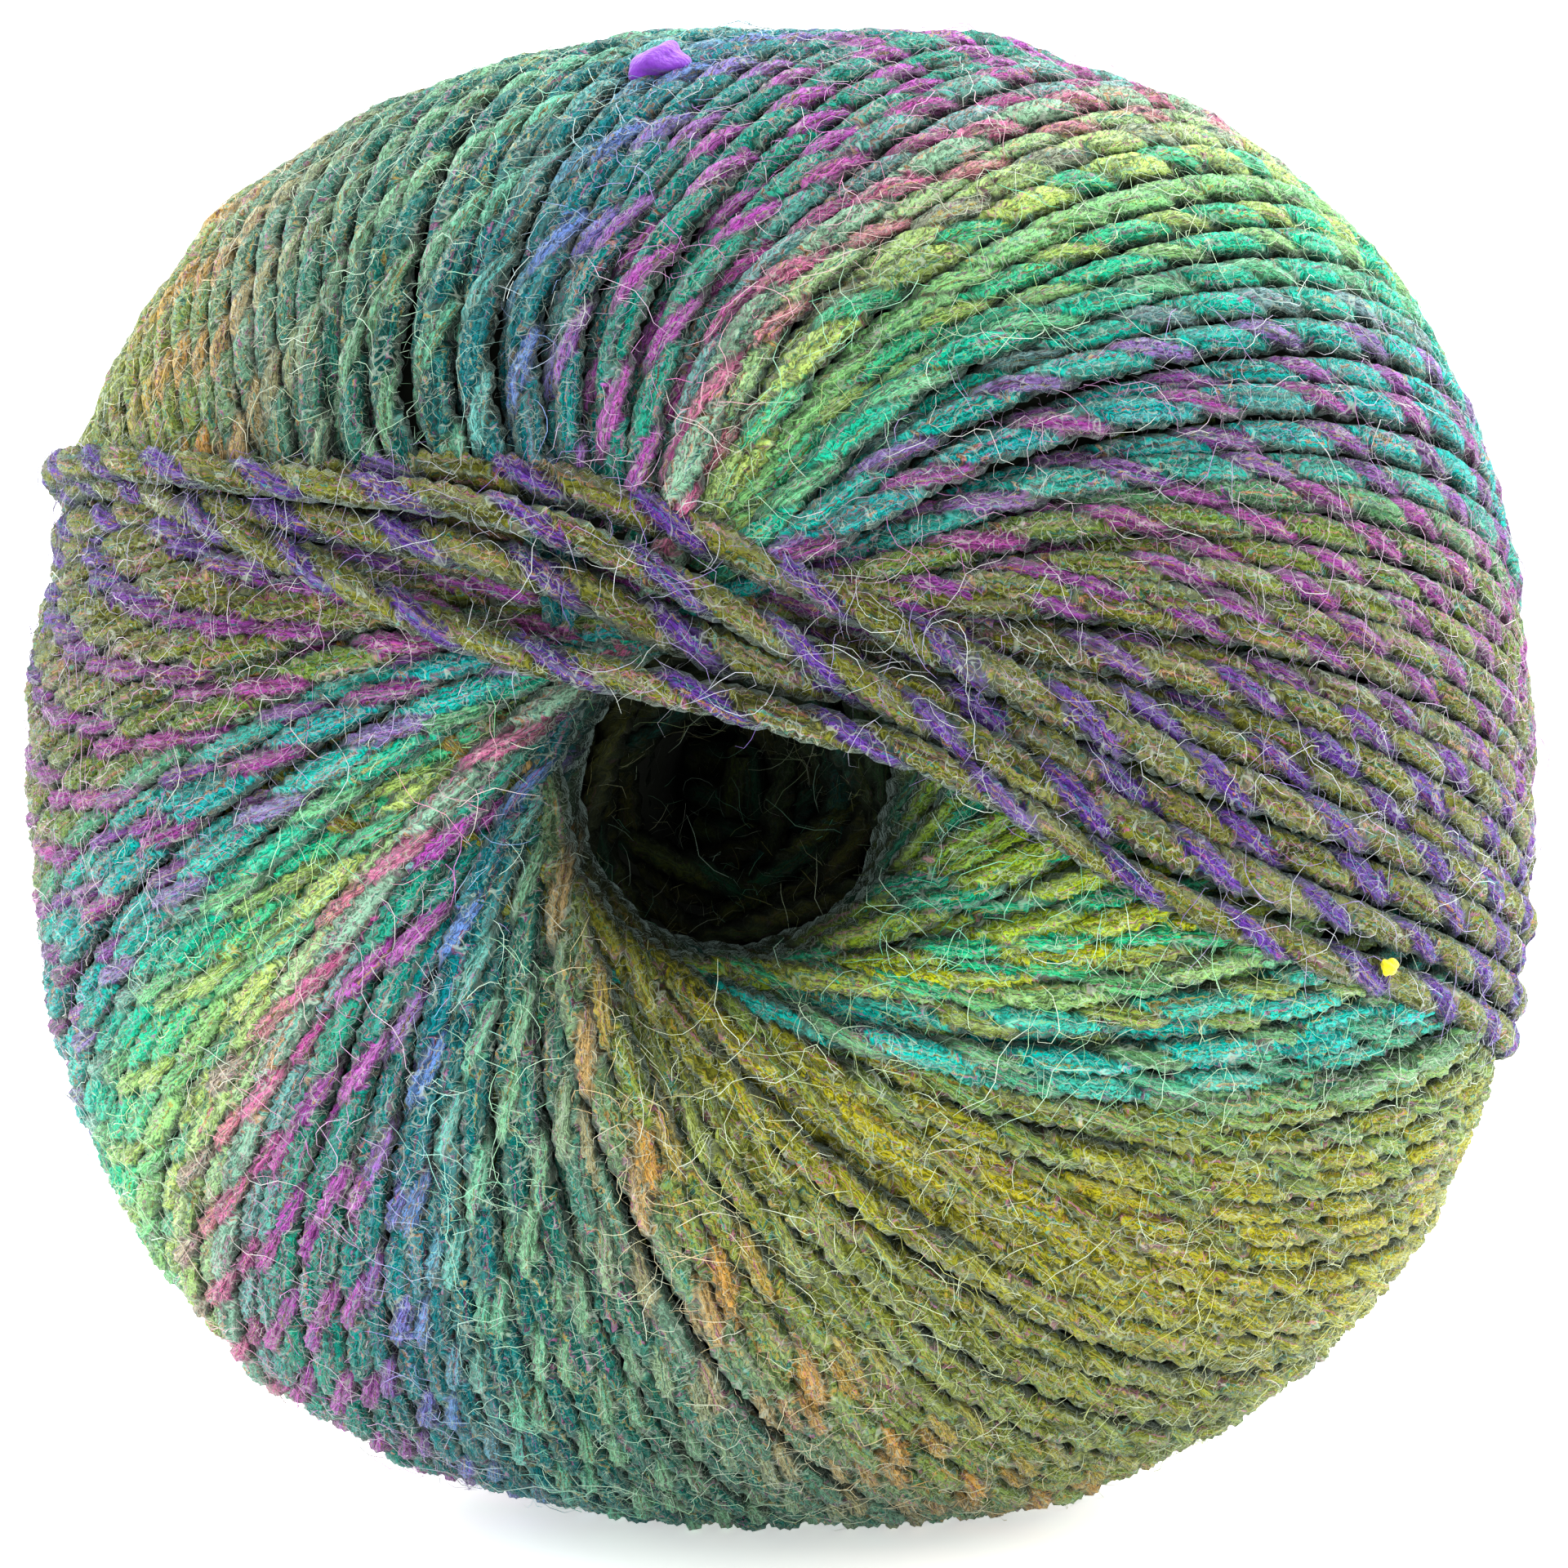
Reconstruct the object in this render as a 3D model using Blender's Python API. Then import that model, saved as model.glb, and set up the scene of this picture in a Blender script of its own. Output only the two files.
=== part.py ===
"""A machine-wound ball of chunky two-ply wool, lying on its side with its centre hole level.

The ball is one closed body: a slightly squared, slightly short round form with a hole right through,
broad ridges where bundles of turns lie side by side, a raised band of the last turns that bridges
one side of each mouth of the hole, and a small flat spot where it rests.

Metres, +Z up. The hole runs along Y and its open mouth faces -Y. The origin is at the bottom, under
the middle of the ball.
"""

import math

import bpy
import numpy as np

MM = 0.001

# Driving sizes of the wound form.
RADIUS = 68.8 * MM
SQUARENESS = 0.0275
SHORTNESS = 0.91
FULLNESS = 2.3
FLAT_SPOT_DEPTH = 1.6 * MM

# The centre hole and the hollow around each mouth.
DIMPLE_DEPTH = 6.0 * MM
DIMPLE_REACH = 24.0 * MM
MOUTH_RADIUS = 16.0 * MM
LIP_ROUNDING = 5.0 * MM
WAIST_RADIUS = 9.0 * MM

# Turns wound outward over the upper half and inward over the lower half: each lies on a great circle
# that passes the pole at a set angle. The upper half's pole is turned sideways from the hole.
UPPER_POLE_TURN = math.radians(-9.5)
UPPER_PASS = math.radians(17.5)
LOWER_PASS = math.radians(11.3)
FIRST_TURN_LEAN = math.radians(69.4)
BUNDLE_PITCH = math.radians(12.0)
BUNDLE_RELIEF = 1.7 * MM
RELIEF_FADE = 18.0 * MM

# The last turns, as planes through the ball's middle: lean is the way the plane's normal points about
# the hole, pass is how far the turn runs from the pole, lift is how proud it lies, width is its spread.
LAST_TURNS = (
    {"lean": 69.4, "pass": 5.9, "lift": 2.6 * MM, "width": 3.2 * MM},
    {"lean": 68.1, "pass": 11.2, "lift": 2.0 * MM, "width": 3.2 * MM},
    {"lean": 69.3, "pass": 16.2, "lift": 1.3 * MM, "width": 3.2 * MM},
)

# The inner edge of the last turns, as its distance from the hole's axis, and how softly it starts.
BAND_EDGE = 6.6 * MM
BAND_SOFTNESS = 4.0 * MM

# Grid of the surface: stations round the hole, along the outside, over each lip and down the hole.
AROUND = 120
ALONG_OUTSIDE = 35
OVER_LIP = 3
DOWN_HOLE = 4

WOOL_COLOUR = (0.17, 0.27, 0.21, 1.0)
WOOL_ROUGHNESS = 0.95


def pole_frame(turn):
    """Right, up and outward directions at a front pole that is turned sideways by an angle."""
    outward = np.array([math.sin(turn), -math.cos(turn), 0.0])
    right = np.array([math.cos(turn), math.sin(turn), 0.0])
    return right, np.array([0.0, 0.0, 1.0]), outward


LOWER_FRAME = pole_frame(0.0)
UPPER_FRAME = pole_frame(UPPER_POLE_TURN)


def smooth_step(share):
    """A soft rise from 0 to 1."""
    share = min(1.0, max(0.0, share))
    return share * share * (3.0 - 2.0 * share)


def turn_normal(lean, pass_angle):
    """Unit normal of the plane in which one turn of yarn lies."""
    right, up, outward = LOWER_FRAME
    flat = math.cos(lean) * right + math.sin(lean) * up
    return math.cos(pass_angle) * flat - math.sin(pass_angle) * outward


LAST_TURN_NORMAL = turn_normal(FIRST_TURN_LEAN, LOWER_PASS)


def turn_age(direction, frame, pass_angle, side):
    """Angle, in turns wound since, of the yarn that passes through a direction."""
    right, up, outward = frame
    height = float(np.clip(direction @ outward, -1.0, 1.0))
    polar = math.acos(height)
    if math.sin(polar) <= math.sin(pass_angle):
        reach = 0.0 if height > 0 else math.pi
    else:
        reach = math.acos(np.clip(math.tan(pass_angle) / math.tan(polar), -1.0, 1.0))
    bearing = math.atan2(direction @ up, direction @ right)
    return (bearing + side * reach - FIRST_TURN_LEAN) % (2.0 * math.pi)


def bundle_ridge(direction):
    """Height of the broad ridges that bundles of turns make, round on top and sharp between."""
    if direction @ LAST_TURN_NORMAL > 0.0:
        age = turn_age(direction, UPPER_FRAME, UPPER_PASS, 1.0)
    else:
        age = turn_age(direction, LOWER_FRAME, LOWER_PASS, -1.0)
    return BUNDLE_RELIEF * (abs(math.cos(math.pi * age / BUNDLE_PITCH)) - 0.6)


def last_turn_ridge(direction):
    """Height of the raised band of last turns."""
    height = -BUNDLE_RELIEF
    for turn in LAST_TURNS:
        normal = turn_normal(math.radians(turn["lean"]), math.radians(turn["pass"]))
        away = RADIUS * math.asin(float(np.clip(direction @ normal, -1.0, 1.0)))
        rise = turn["lift"] * math.exp(-((away / turn["width"]) ** 2))
        height = max(height, rise if rise > 0.2 * turn["lift"] else height)
    return height


def band_side(bearing, y):
    """Which way round the hole the last turns lie from a point: 1 straight towards them, -1 away."""
    toward = math.cos(bearing - FIRST_TURN_LEAN)
    return toward if y < 0.0 else -toward


def lip_radius(bearing, y):
    """Radius of the hole's opening: round, but cut straight by the last turns on their side."""
    round_radius = MOUTH_RADIUS - LIP_ROUNDING
    toward = band_side(bearing, y)
    if toward <= 0.0:
        return round_radius
    return min(round_radius, BAND_EDGE / toward)


def outside_point(polar, bearing):
    """Distance from the hole's axis and place along it, for a station on the plain outside."""
    across = math.sin(polar)
    along = math.cos(polar)
    size = (across**FULLNESS + abs(along / SHORTNESS) ** FULLNESS) ** (-1.0 / FULLNESS)
    rho = RADIUS * size * across
    y = -RADIUS * size * along
    past_edge = rho * band_side(bearing, y) - BAND_EDGE
    bridged = smooth_step(past_edge / BAND_SOFTNESS)
    dip = DIMPLE_DEPTH * math.exp(-((rho / DIMPLE_REACH) ** 2)) * (1.0 - bridged)
    return rho, y - math.copysign(dip, y) if abs(y) > dip else y


def mouth_polar():
    """Polar angle at which the outside meets the rounded lip of the hole."""
    low, high = 0.0, math.pi / 2.0
    while high - low > 1e-6:
        middle = 0.5 * (low + high)
        if outside_point(middle, 0.0)[0] < MOUTH_RADIUS:
            low = middle
        else:
            high = middle
    return high


MOUTH_POLAR = mouth_polar()


def lip_points(end_y, bearing):
    """Stations over one rounded lip, from the outside into the hole."""
    drop = math.copysign(LIP_ROUNDING, end_y)
    draw_in = MOUTH_RADIUS - lip_radius(bearing, end_y)
    points = []
    for i in range(1, OVER_LIP + 1):
        bend = 0.5 * math.pi * i / OVER_LIP
        rho = MOUTH_RADIUS - draw_in * math.sin(bend)
        points.append((rho, end_y - drop * (1.0 - math.cos(bend)), 0.0))
    return points


def section(bearing):
    """Stations of the ball's section, front mouth to back mouth outside, then back down the hole.

    Each is the distance from the hole's axis, the place along it, and how much relief it takes.
    """
    outside = []
    for i in range(ALONG_OUTSIDE):
        share = i / (ALONG_OUTSIDE - 1)
        polar = MOUTH_POLAR + (math.pi - 2.0 * MOUTH_POLAR) * share
        rho, y = outside_point(polar, bearing)
        outside.append((rho, y, smooth_step((rho - MOUTH_RADIUS) / RELIEF_FADE)))
    front_lip = lip_points(outside[0][1], bearing)
    back_lip = lip_points(outside[-1][1], bearing)
    hole = []
    for i in range(1, DOWN_HOLE):
        share = i / DOWN_HOLE
        y = back_lip[-1][1] * (1.0 - share) + front_lip[-1][1] * share
        widening = (MOUTH_RADIUS - LIP_ROUNDING - WAIST_RADIUS) * (2.0 * share - 1.0) ** 2
        hole.append((WAIST_RADIUS + widening, y, 0.0))
    return outside + back_lip + hole + front_lip[::-1]


def surface_point(rho, y, relief, bearing):
    """One point of the wound surface, about the ball's middle."""
    squared = -SQUARENESS * math.cos(4.0 * bearing) * (rho / RADIUS) ** 2
    radius = rho * (1.0 + squared)
    point = np.array([radius * math.cos(bearing), y, radius * math.sin(bearing)])
    if rho < MOUTH_RADIUS:
        return point
    direction = point / np.linalg.norm(point)
    band = last_turn_ridge(direction)
    ridge = relief * bundle_ridge(direction)
    return point + direction * max(ridge, band)


def ball_vertices():
    """Grid of points, bearing by bearing, standing on z = 0 with the flat spot pressed in."""
    middle = RADIUS * (1.0 - SQUARENESS) - FLAT_SPOT_DEPTH
    points = []
    for i in range(AROUND):
        bearing = 2.0 * math.pi * (i + 0.5) / AROUND
        for rho, y, relief in section(bearing):
            point = surface_point(rho, y, relief, bearing)
            points.append((point[0], point[1], max(0.0, point[2] + middle)))
    return points


def ball_faces():
    """Quads of the closed ring of sections, facing outward."""
    count = ALONG_OUTSIDE + 2 * OVER_LIP + DOWN_HOLE - 1
    faces = []
    for i in range(AROUND):
        here = i * count
        there = ((i + 1) % AROUND) * count
        for j in range(count):
            k = (j + 1) % count
            faces.append((here + j, here + k, there + k, there + j))
    return faces


def wool_material():
    """Dyed wool: matt, with no gloss at all."""
    material = bpy.data.materials.new("dyed_wool")
    material.use_nodes = True
    shader = material.node_tree.nodes["Principled BSDF"]
    shader.inputs["Base Color"].default_value = WOOL_COLOUR
    shader.inputs["Roughness"].default_value = WOOL_ROUGHNESS
    shader.inputs["Metallic"].default_value = 0.0
    return material


def build_ball():
    """The wound ball, as one closed body."""
    mesh = bpy.data.meshes.new("yarn_ball")
    mesh.from_pydata(ball_vertices(), [], ball_faces())
    mesh.validate()
    mesh.shade_smooth()
    mesh.materials.append(wool_material())
    ball = bpy.data.objects.new("yarn_ball", mesh)
    bpy.context.scene.collection.objects.link(ball)
    return ball


def main():
    """Clears the scene and builds the ball."""
    for old in list(bpy.data.objects):
        bpy.data.objects.remove(old)
    build_ball()


main()
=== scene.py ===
"""Looks of a machine-wound ball of chunky two-ply wool: the strand turn by turn, its dye and its fuzz.

Metres, +Z up. The ball lies on its side: its centre hole runs along Y and the mouth that shows faces -Y.
"""

import logging
import math
from dataclasses import dataclass, field
from enum import Enum
from typing import Any

import bpy
import numpy as np
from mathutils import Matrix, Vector

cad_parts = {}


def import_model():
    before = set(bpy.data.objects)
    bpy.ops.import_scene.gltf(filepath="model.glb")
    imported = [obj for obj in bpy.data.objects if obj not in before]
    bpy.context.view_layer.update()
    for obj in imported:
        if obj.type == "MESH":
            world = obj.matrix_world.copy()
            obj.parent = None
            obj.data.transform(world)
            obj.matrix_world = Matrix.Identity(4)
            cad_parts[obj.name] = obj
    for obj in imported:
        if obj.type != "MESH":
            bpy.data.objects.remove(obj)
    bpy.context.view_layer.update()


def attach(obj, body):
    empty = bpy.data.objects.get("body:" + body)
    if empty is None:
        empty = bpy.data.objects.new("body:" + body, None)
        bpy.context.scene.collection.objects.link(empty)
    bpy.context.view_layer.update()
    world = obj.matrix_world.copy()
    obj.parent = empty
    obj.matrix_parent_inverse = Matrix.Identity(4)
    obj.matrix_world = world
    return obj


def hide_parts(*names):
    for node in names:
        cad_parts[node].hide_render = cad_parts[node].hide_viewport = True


LOG = logging.getLogger("yarn_ball")
MM = 0.001
FULL_TURN = 2.0 * math.pi
BODY = "root"
NODE = "yarn_ball"


class Pole(Enum):
    """The two mouths of the centre hole, as the sign of their place along Y."""

    FRONT = -1.0
    BACK = 1.0


class Sink(Enum):
    """How a turn gives way where there is no room beside its neighbours."""

    STAYS_ON_TOP = 0
    GIVES_WAY_LATE = 1
    GIVES_WAY_EARLY = 2


def smooth(share: np.ndarray | float) -> np.ndarray | float:
    """A soft rise from 0 to 1.

    Args:
        share: how far along the rise, of any value.

    Returns:
        The height of the rise, from 0 to 1.
    """
    share = np.clip(share, 0.0, 1.0)
    return share * share * (3.0 - 2.0 * share)


def linear(hex_colour: str, alpha: float = 1.0) -> tuple[float, float, float, float]:
    """Turns an sRGB hex colour to the linear colour that shaders take.

    Args:
        hex_colour: six hex digits after a hash sign.
        alpha: the fourth value.

    Returns:
        Linear red, green, blue and alpha.
    """
    values = [int(hex_colour[i : i + 2], 16) / 255.0 for i in (1, 3, 5)]
    red, green, blue = (
        v / 12.92 if v <= 0.04045 else ((v + 0.055) / 1.055) ** 2.4 for v in values
    )
    return red, green, blue, alpha


def add(
    tree: bpy.types.NodeTree,
    kind: str,
    settings: dict[str, Any] | None = None,
    values: dict[str | int, Any] | None = None,
    links: dict[str | int, bpy.types.NodeSocket] | None = None,
) -> bpy.types.Node:
    """Adds one node with its settings, its socket values and its links.

    Args:
        tree: the node tree that takes it.
        kind: the node's type name.
        settings: properties of the node itself.
        values: values of its input sockets, by name or place.
        links: output sockets that feed its inputs, by name or place.

    Returns:
        The new node.
    """
    node = tree.nodes.new(kind)
    for name, value in (settings or {}).items():
        setattr(node, name, value)
    for name, value in (values or {}).items():
        node.inputs[name].default_value = value
    for name, source in (links or {}).items():
        tree.links.new(source, node.inputs[name])
    return node


@dataclass(frozen=True)
class WoundForm:
    """The form that the turns lie on: squared, a little short along the hole, hollow at each mouth."""

    radius: float = 68.8 * MM
    squareness: float = 0.0275
    shortness: float = 0.91
    fullness: float = 2.3
    flat_spot_depth: float = 1.6 * MM
    dimple_depth: float = 6.0 * MM
    dimple_reach: float = 24.0 * MM
    mouth_radius: float = 16.0 * MM
    lip_rounding: float = 5.0 * MM
    band_edge: float = 6.6 * MM
    band_softness: float = 4.0 * MM
    band_lean: float = math.radians(69.4)

    @property
    def middle(self) -> float:
        """Height of the ball's middle above what it rests on."""
        return self.radius * (1.0 - self.squareness) - self.flat_spot_depth

    def place(
        self,
        direction: np.ndarray,
        inset: np.ndarray | float,
        bridge: np.ndarray | float = 0.0,
    ) -> np.ndarray:
        """Finds the points of the form that lie in given directions from its middle.

        Args:
            direction: unit directions, one in each row.
            inset: how far inside the surface each point lies, in metres.
            bridge: 1 where the turn spans the hollow at a mouth and 0 where it follows it.

        Returns:
            The points, standing on z = 0.
        """
        across = np.maximum(np.hypot(direction[:, 0], direction[:, 2]), 1e-6)
        along = -direction[:, 1]
        power = self.fullness
        size = (across**power + np.abs(along / self.shortness) ** power) ** (-1.0 / power)
        rho = self.radius * size * across
        depth = self.radius * size * along
        lean = math.cos(self.band_lean) * direction[:, 0] + math.sin(self.band_lean) * direction[:, 2]
        past_edge = rho * lean / across * np.sign(along) - self.band_edge
        open_share = (1.0 - smooth(past_edge / self.band_softness)) * (1.0 - bridge)
        dip = self.dimple_depth * np.exp(-((rho / self.dimple_reach) ** 2))
        over_lip = np.clip((self.mouth_radius - rho) / self.lip_rounding, 0.0, 1.0)
        drop = self.lip_rounding * (1.0 - np.sqrt(1.0 - over_lip**2))
        depth = depth - np.sign(along) * np.minimum((dip + drop) * open_share, np.abs(depth))
        bearing = np.arctan2(direction[:, 2], direction[:, 0])
        rho = rho * (1.0 - self.squareness * np.cos(4.0 * bearing) * (rho / self.radius) ** 2)
        point = np.stack([rho * np.cos(bearing), -depth, rho * np.sin(bearing)], axis=1)
        point -= direction * np.reshape(inset, (-1, 1))
        point[:, 2] += self.middle
        return point


@dataclass(frozen=True)
class LastTurn:
    """One of the last turns, by its offsets from the plane of the turn that spans the hole.

    The offsets are in millimetres, one for each of the stations of LAST_TURN_STATIONS.
    """

    offsets_mm: tuple[float, ...]
    lifts_mm: tuple[float, float, float]


LAST_TURN_STATIONS = (-180, -90, -60, -38, -20, 0, 12, 30, 60, 90, 180)


@dataclass
class Route:
    """The strand's centre line: its points and what goes with each."""

    point: np.ndarray
    age: np.ndarray
    run: np.ndarray
    girth: np.ndarray
    hidden: np.ndarray
    turn: np.ndarray
    kept: np.ndarray


def curve_through(place: np.ndarray, stations: np.ndarray, heights: np.ndarray) -> np.ndarray:
    """Reads a smooth curve through given heights.

    Args:
        place: where it is read.
        stations: the rising places of the heights.
        heights: the heights.

    Returns:
        The curve's height at each place.
    """
    slopes = np.gradient(heights, stations)
    low = np.clip(np.searchsorted(stations, place) - 1, 0, len(stations) - 2)
    width = stations[low + 1] - stations[low]
    share = np.clip((place - stations[low]) / width, 0.0, 1.0)
    back = 1.0 - share
    value = heights[low] * (1.0 + 2.0 * share) * back**2
    value += heights[low + 1] * (3.0 - 2.0 * share) * share**2
    value += width * share * back * (slopes[low] * back - slopes[low + 1] * share)
    return value


@dataclass(frozen=True)
class Winding:
    """How the strand is wound: great turns past the hole, each a little round from the one before."""

    form: WoundForm = field(default_factory=WoundForm)
    strand_radius: float = 1.49 * MM
    step: float = 1.22 * MM
    turn_angles_deg: tuple[float, float, float] = (1.35, 2.7, 2.5)
    whole_turns: int = 79
    turns_in_all: int = 116
    band_pass_deg: float = 5.9
    lower_pass_deg: float = 14.0
    upper_pass_deg: float = 17.5
    upper_pole_turn_deg: float = -9.5
    inward_lag_deg: float = -8.0
    outward_lead_deg: float = 2.0
    inward_drift_deg: float = 6.5
    outward_drift_deg: tuple[float, float] = (3.0, 16.0)
    kept_polar_deg: float = 48.0
    seed: int = 11
    last_turns: tuple[LastTurn, ...] = (
        LastTurn((0.0, 1.2, 2.3, 5.1, 8.9, 7.2, 5.0, 2.9, 3.9, 3.6, 4.5), (2.3, 1.9, 1.2)),
        LastTurn((-3.2, -1.2, 1.4, -0.2, -1.7, 0.8, 2.0, -0.9, 0.1, 0.3, 0.0), (0.4, 2.4, 1.4)),
        LastTurn((-6.5, -4.6, -1.8, 2.8, 5.4, 4.9, 7.3, 5.9, 7.4, 7.0, -3.2), (0.2, 0.3, 0.9)),
        LastTurn((-9.7, -8.4, -2.4, 6.6, 12.9, 12.4, 10.9, 9.4, 10.6, 10.3, -6.5), (-1.2, 1.1, 0.7)),
    )

    def wander(self, since: np.ndarray, per_turn: float, size: float, stream: int) -> np.ndarray:
        """Draws a slow unevenness along the strand.

        Args:
            since: turns wound since each point.
            per_turn: changes in each turn.
            size: how far it goes either way, as a standard deviation.
            stream: which of the fixed random draws it takes.

        Returns:
            The unevenness at each point.
        """
        draws = np.random.default_rng(self.seed + stream)
        place = (since + 2.0) * per_turn
        knots = draws.normal(0.0, size, int(place.max()) + 3)
        low = np.floor(place).astype(int)
        rise = smooth(place - low)
        return knots[low] * (1.0 - rise) + knots[low + 1] * rise

    def age_deg(self, since: np.ndarray) -> np.ndarray:
        """Finds the angle that the winding has advanced since each point, close together at first.

        Args:
            since: turns wound since each point.

        Returns:
            The angle in degrees.
        """
        first, then, later = self.turn_angles_deg
        return first * since + (then - first) * np.maximum(since - 4.0, 0.0) + (later - then) * np.maximum(
            since - 24.0, 0.0
        )

    def offset(self, number: int, swing_deg: np.ndarray) -> np.ndarray:
        """Reads how far one of the last turns lies from the plane of the turn that spans the hole.

        Args:
            number: which of the last turns.
            swing_deg: places in the turn, in degrees.

        Returns:
            The offsets in metres.
        """
        heights = np.array(self.last_turns[number].offsets_mm) * MM
        return curve_through(swing_deg, np.array(LAST_TURN_STATIONS, float), heights)

    def normal(self, lean: np.ndarray, pass_angle: np.ndarray, pole_turn: float) -> np.ndarray:
        """Finds the normal of each turn's plane.

        Args:
            lean: the way the normal points about the hole, in radians.
            pass_angle: how far the turn runs from the pole, in radians.
            pole_turn: how far that pole is turned sideways from the hole, in radians.

        Returns:
            Unit normals, one in each row.
        """
        outward = np.array([math.sin(pole_turn), -math.cos(pole_turn), 0.0])
        right = np.array([math.cos(pole_turn), math.sin(pole_turn), 0.0])
        flat = np.outer(np.cos(lean), right) + np.outer(np.sin(lean), [0.0, 0.0, 1.0])
        return np.cos(pass_angle)[:, None] * flat - np.outer(np.sin(pass_angle), outward)

    def on_circle(self, normal: np.ndarray, swing: np.ndarray) -> np.ndarray:
        """Finds points on great circles, counted from where each comes nearest to the front pole.

        Args:
            normal: the unit normals of the circles.
            swing: the angle along each circle.

        Returns:
            Unit directions, one in each row.
        """
        pole = np.array([0.0, -1.0, 0.0])
        nearest = pole - (normal @ pole)[:, None] * normal
        nearest /= np.linalg.norm(nearest, axis=1)[:, None]
        beyond = np.cross(normal, nearest)
        return np.cos(swing)[:, None] * nearest + np.sin(swing)[:, None] * beyond

    def band_normal(self) -> np.ndarray:
        """Finds the normal of the turn that spans the hole."""
        lean = np.array([self.form.band_lean])
        return self.normal(lean, np.radians([self.band_pass_deg]), 0.0)

    def plain_directions(self, since: np.ndarray, swing: np.ndarray) -> np.ndarray:
        """Finds where the strand runs in all turns but the last few.

        Args:
            since: turns wound since each point.
            swing: the point's place in its turn, 0 at the front of the hole, half a turn at its back.

        Returns:
            Unit directions, one in each row.
        """
        reach = np.abs(swing)
        drift_shape = np.where(
            reach < math.radians(86.0),
            np.sin(math.pi * reach / math.radians(172.0)),
            0.5 + 0.5 * np.cos((reach - math.radians(86.0)) / math.radians(94.0) * math.pi),
        )
        outward = smooth(0.5 + 0.5 * np.sin(swing) / math.sin(math.radians(20.0)))
        age = self.age_deg(since)
        low, high = self.outward_drift_deg
        out_drift = low + (high - low) * smooth((age - 25.0) / 100.0)
        out_shift = (self.outward_lead_deg + out_drift) * drift_shape
        in_shift = self.inward_lag_deg + (self.inward_drift_deg - self.inward_lag_deg) * drift_shape
        uneven = self.wander(since, 2.0, 0.17, 1)
        shift = np.radians(outward * out_shift + (1.0 - outward) * in_shift + uneven + age)
        lean = self.form.band_lean + shift
        pass_angle = np.radians(self.lower_pass_deg + self.wander(since, 2.0, 0.3, 2))
        wide_pass = np.radians(self.upper_pass_deg + self.wander(since, 2.0, 0.3, 3))
        tilted = smooth((swing - math.radians(2.0)) / math.radians(30.0))
        tilted = (tilted * (1.0 - smooth((swing - math.radians(80.0)) / math.radians(70.0))))[:, None]
        level = self.normal(lean, pass_angle, 0.0)
        turned = self.normal(lean, wide_pass, math.radians(self.upper_pole_turn_deg))
        normal = level * (1.0 - tilted) + turned * tilted
        normal /= np.linalg.norm(normal, axis=1)[:, None]
        return self.on_circle(normal, swing)

    def directions(self, since: np.ndarray, swing: np.ndarray, is_last: np.ndarray) -> np.ndarray:
        """Finds the direction of each point of the strand from the ball's middle.

        Args:
            since: turns wound since each point.
            swing: the point's place in its turn.
            is_last: how much each point belongs to the last turns, from 0 to 1.

        Returns:
            Unit directions, one in each row.
        """
        direction = self.plain_directions(since, swing)
        band = np.nonzero(is_last > 0.0)[0]
        count = len(self.last_turns)
        number = np.clip(np.floor(since[band] + 0.5), 0, count - 1)
        swing_deg = np.clip((number - since[band]) * 360.0, -180.0, 180.0)
        offset = np.zeros(len(band))
        for which in range(count):
            chosen = number == which
            offset[chosen] = self.offset(which, swing_deg[chosen])
        normal = np.repeat(self.band_normal(), len(band), axis=0)
        tilt = (offset / self.form.radius)[:, None]
        path = np.cos(tilt) * self.on_circle(normal, swing[band]) + np.sin(tilt) * normal
        share = is_last[band][:, None]
        direction[band] = direction[band] * (1.0 - share) + path * share
        return direction / np.linalg.norm(direction, axis=1)[:, None]

    def lifts(self, since: np.ndarray) -> np.ndarray:
        """Finds how proud the last turns lie: at the left of the hole, before it and at its right.

        Args:
            since: turns wound since each point.

        Returns:
            The heights in metres.
        """
        places, heights = [-0.5], [0.3]
        for number, turn in enumerate(self.last_turns):
            places += [number - 0.17, number - 0.02, number + 0.14]
            heights += list(reversed(turn.lifts_mm))
        places.append(len(self.last_turns) - 0.5)
        heights.append(0.0)
        return np.interp(since, places, heights) * MM

    def sinking(self, since: np.ndarray, swing: np.ndarray) -> np.ndarray:
        """Finds how far each point sinks below its neighbours where the turns crowd at the hole.

        Args:
            since: turns wound since each point.
            swing: the point's place in its turn.

        Returns:
            The depth, in metres.
        """
        draws = np.random.default_rng(self.seed)
        crossings = 2 * self.turns_in_all + 4
        ranks = np.array([Sink.STAYS_ON_TOP.value, Sink.GIVES_WAY_EARLY.value] * crossings)[:crossings]
        late = draws.random(crossings) < 0.45
        ranks[late & (ranks == Sink.STAYS_ON_TOP.value)] = Sink.GIVES_WAY_LATE.value
        swap = draws.random(crossings) < 0.12
        ranks[swap] = Sink.GIVES_WAY_EARLY.value - ranks[swap]
        whole = np.clip(np.round(since).astype(int), 0, crossings // 2 - 1)
        half = np.clip(np.floor(since).astype(int), 0, crossings // 2 - 1)
        rank = np.where(np.abs(swing) < 0.5 * math.pi, ranks[whole], ranks[::-1][half])
        diameter = 2.0 * self.strand_radius
        pitch = self.form.radius * math.radians(self.turn_angles_deg[2]) * np.abs(np.sin(swing))
        room = pitch / diameter
        early = smooth((0.74 - room) / 0.34)
        late_depth = smooth((0.40 - room) / 0.18)
        depth = np.where(rank == Sink.GIVES_WAY_EARLY.value, early, 0.0)
        depth = np.where(rank == Sink.GIVES_WAY_LATE.value, late_depth, depth)
        return 0.82 * diameter * depth

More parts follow.
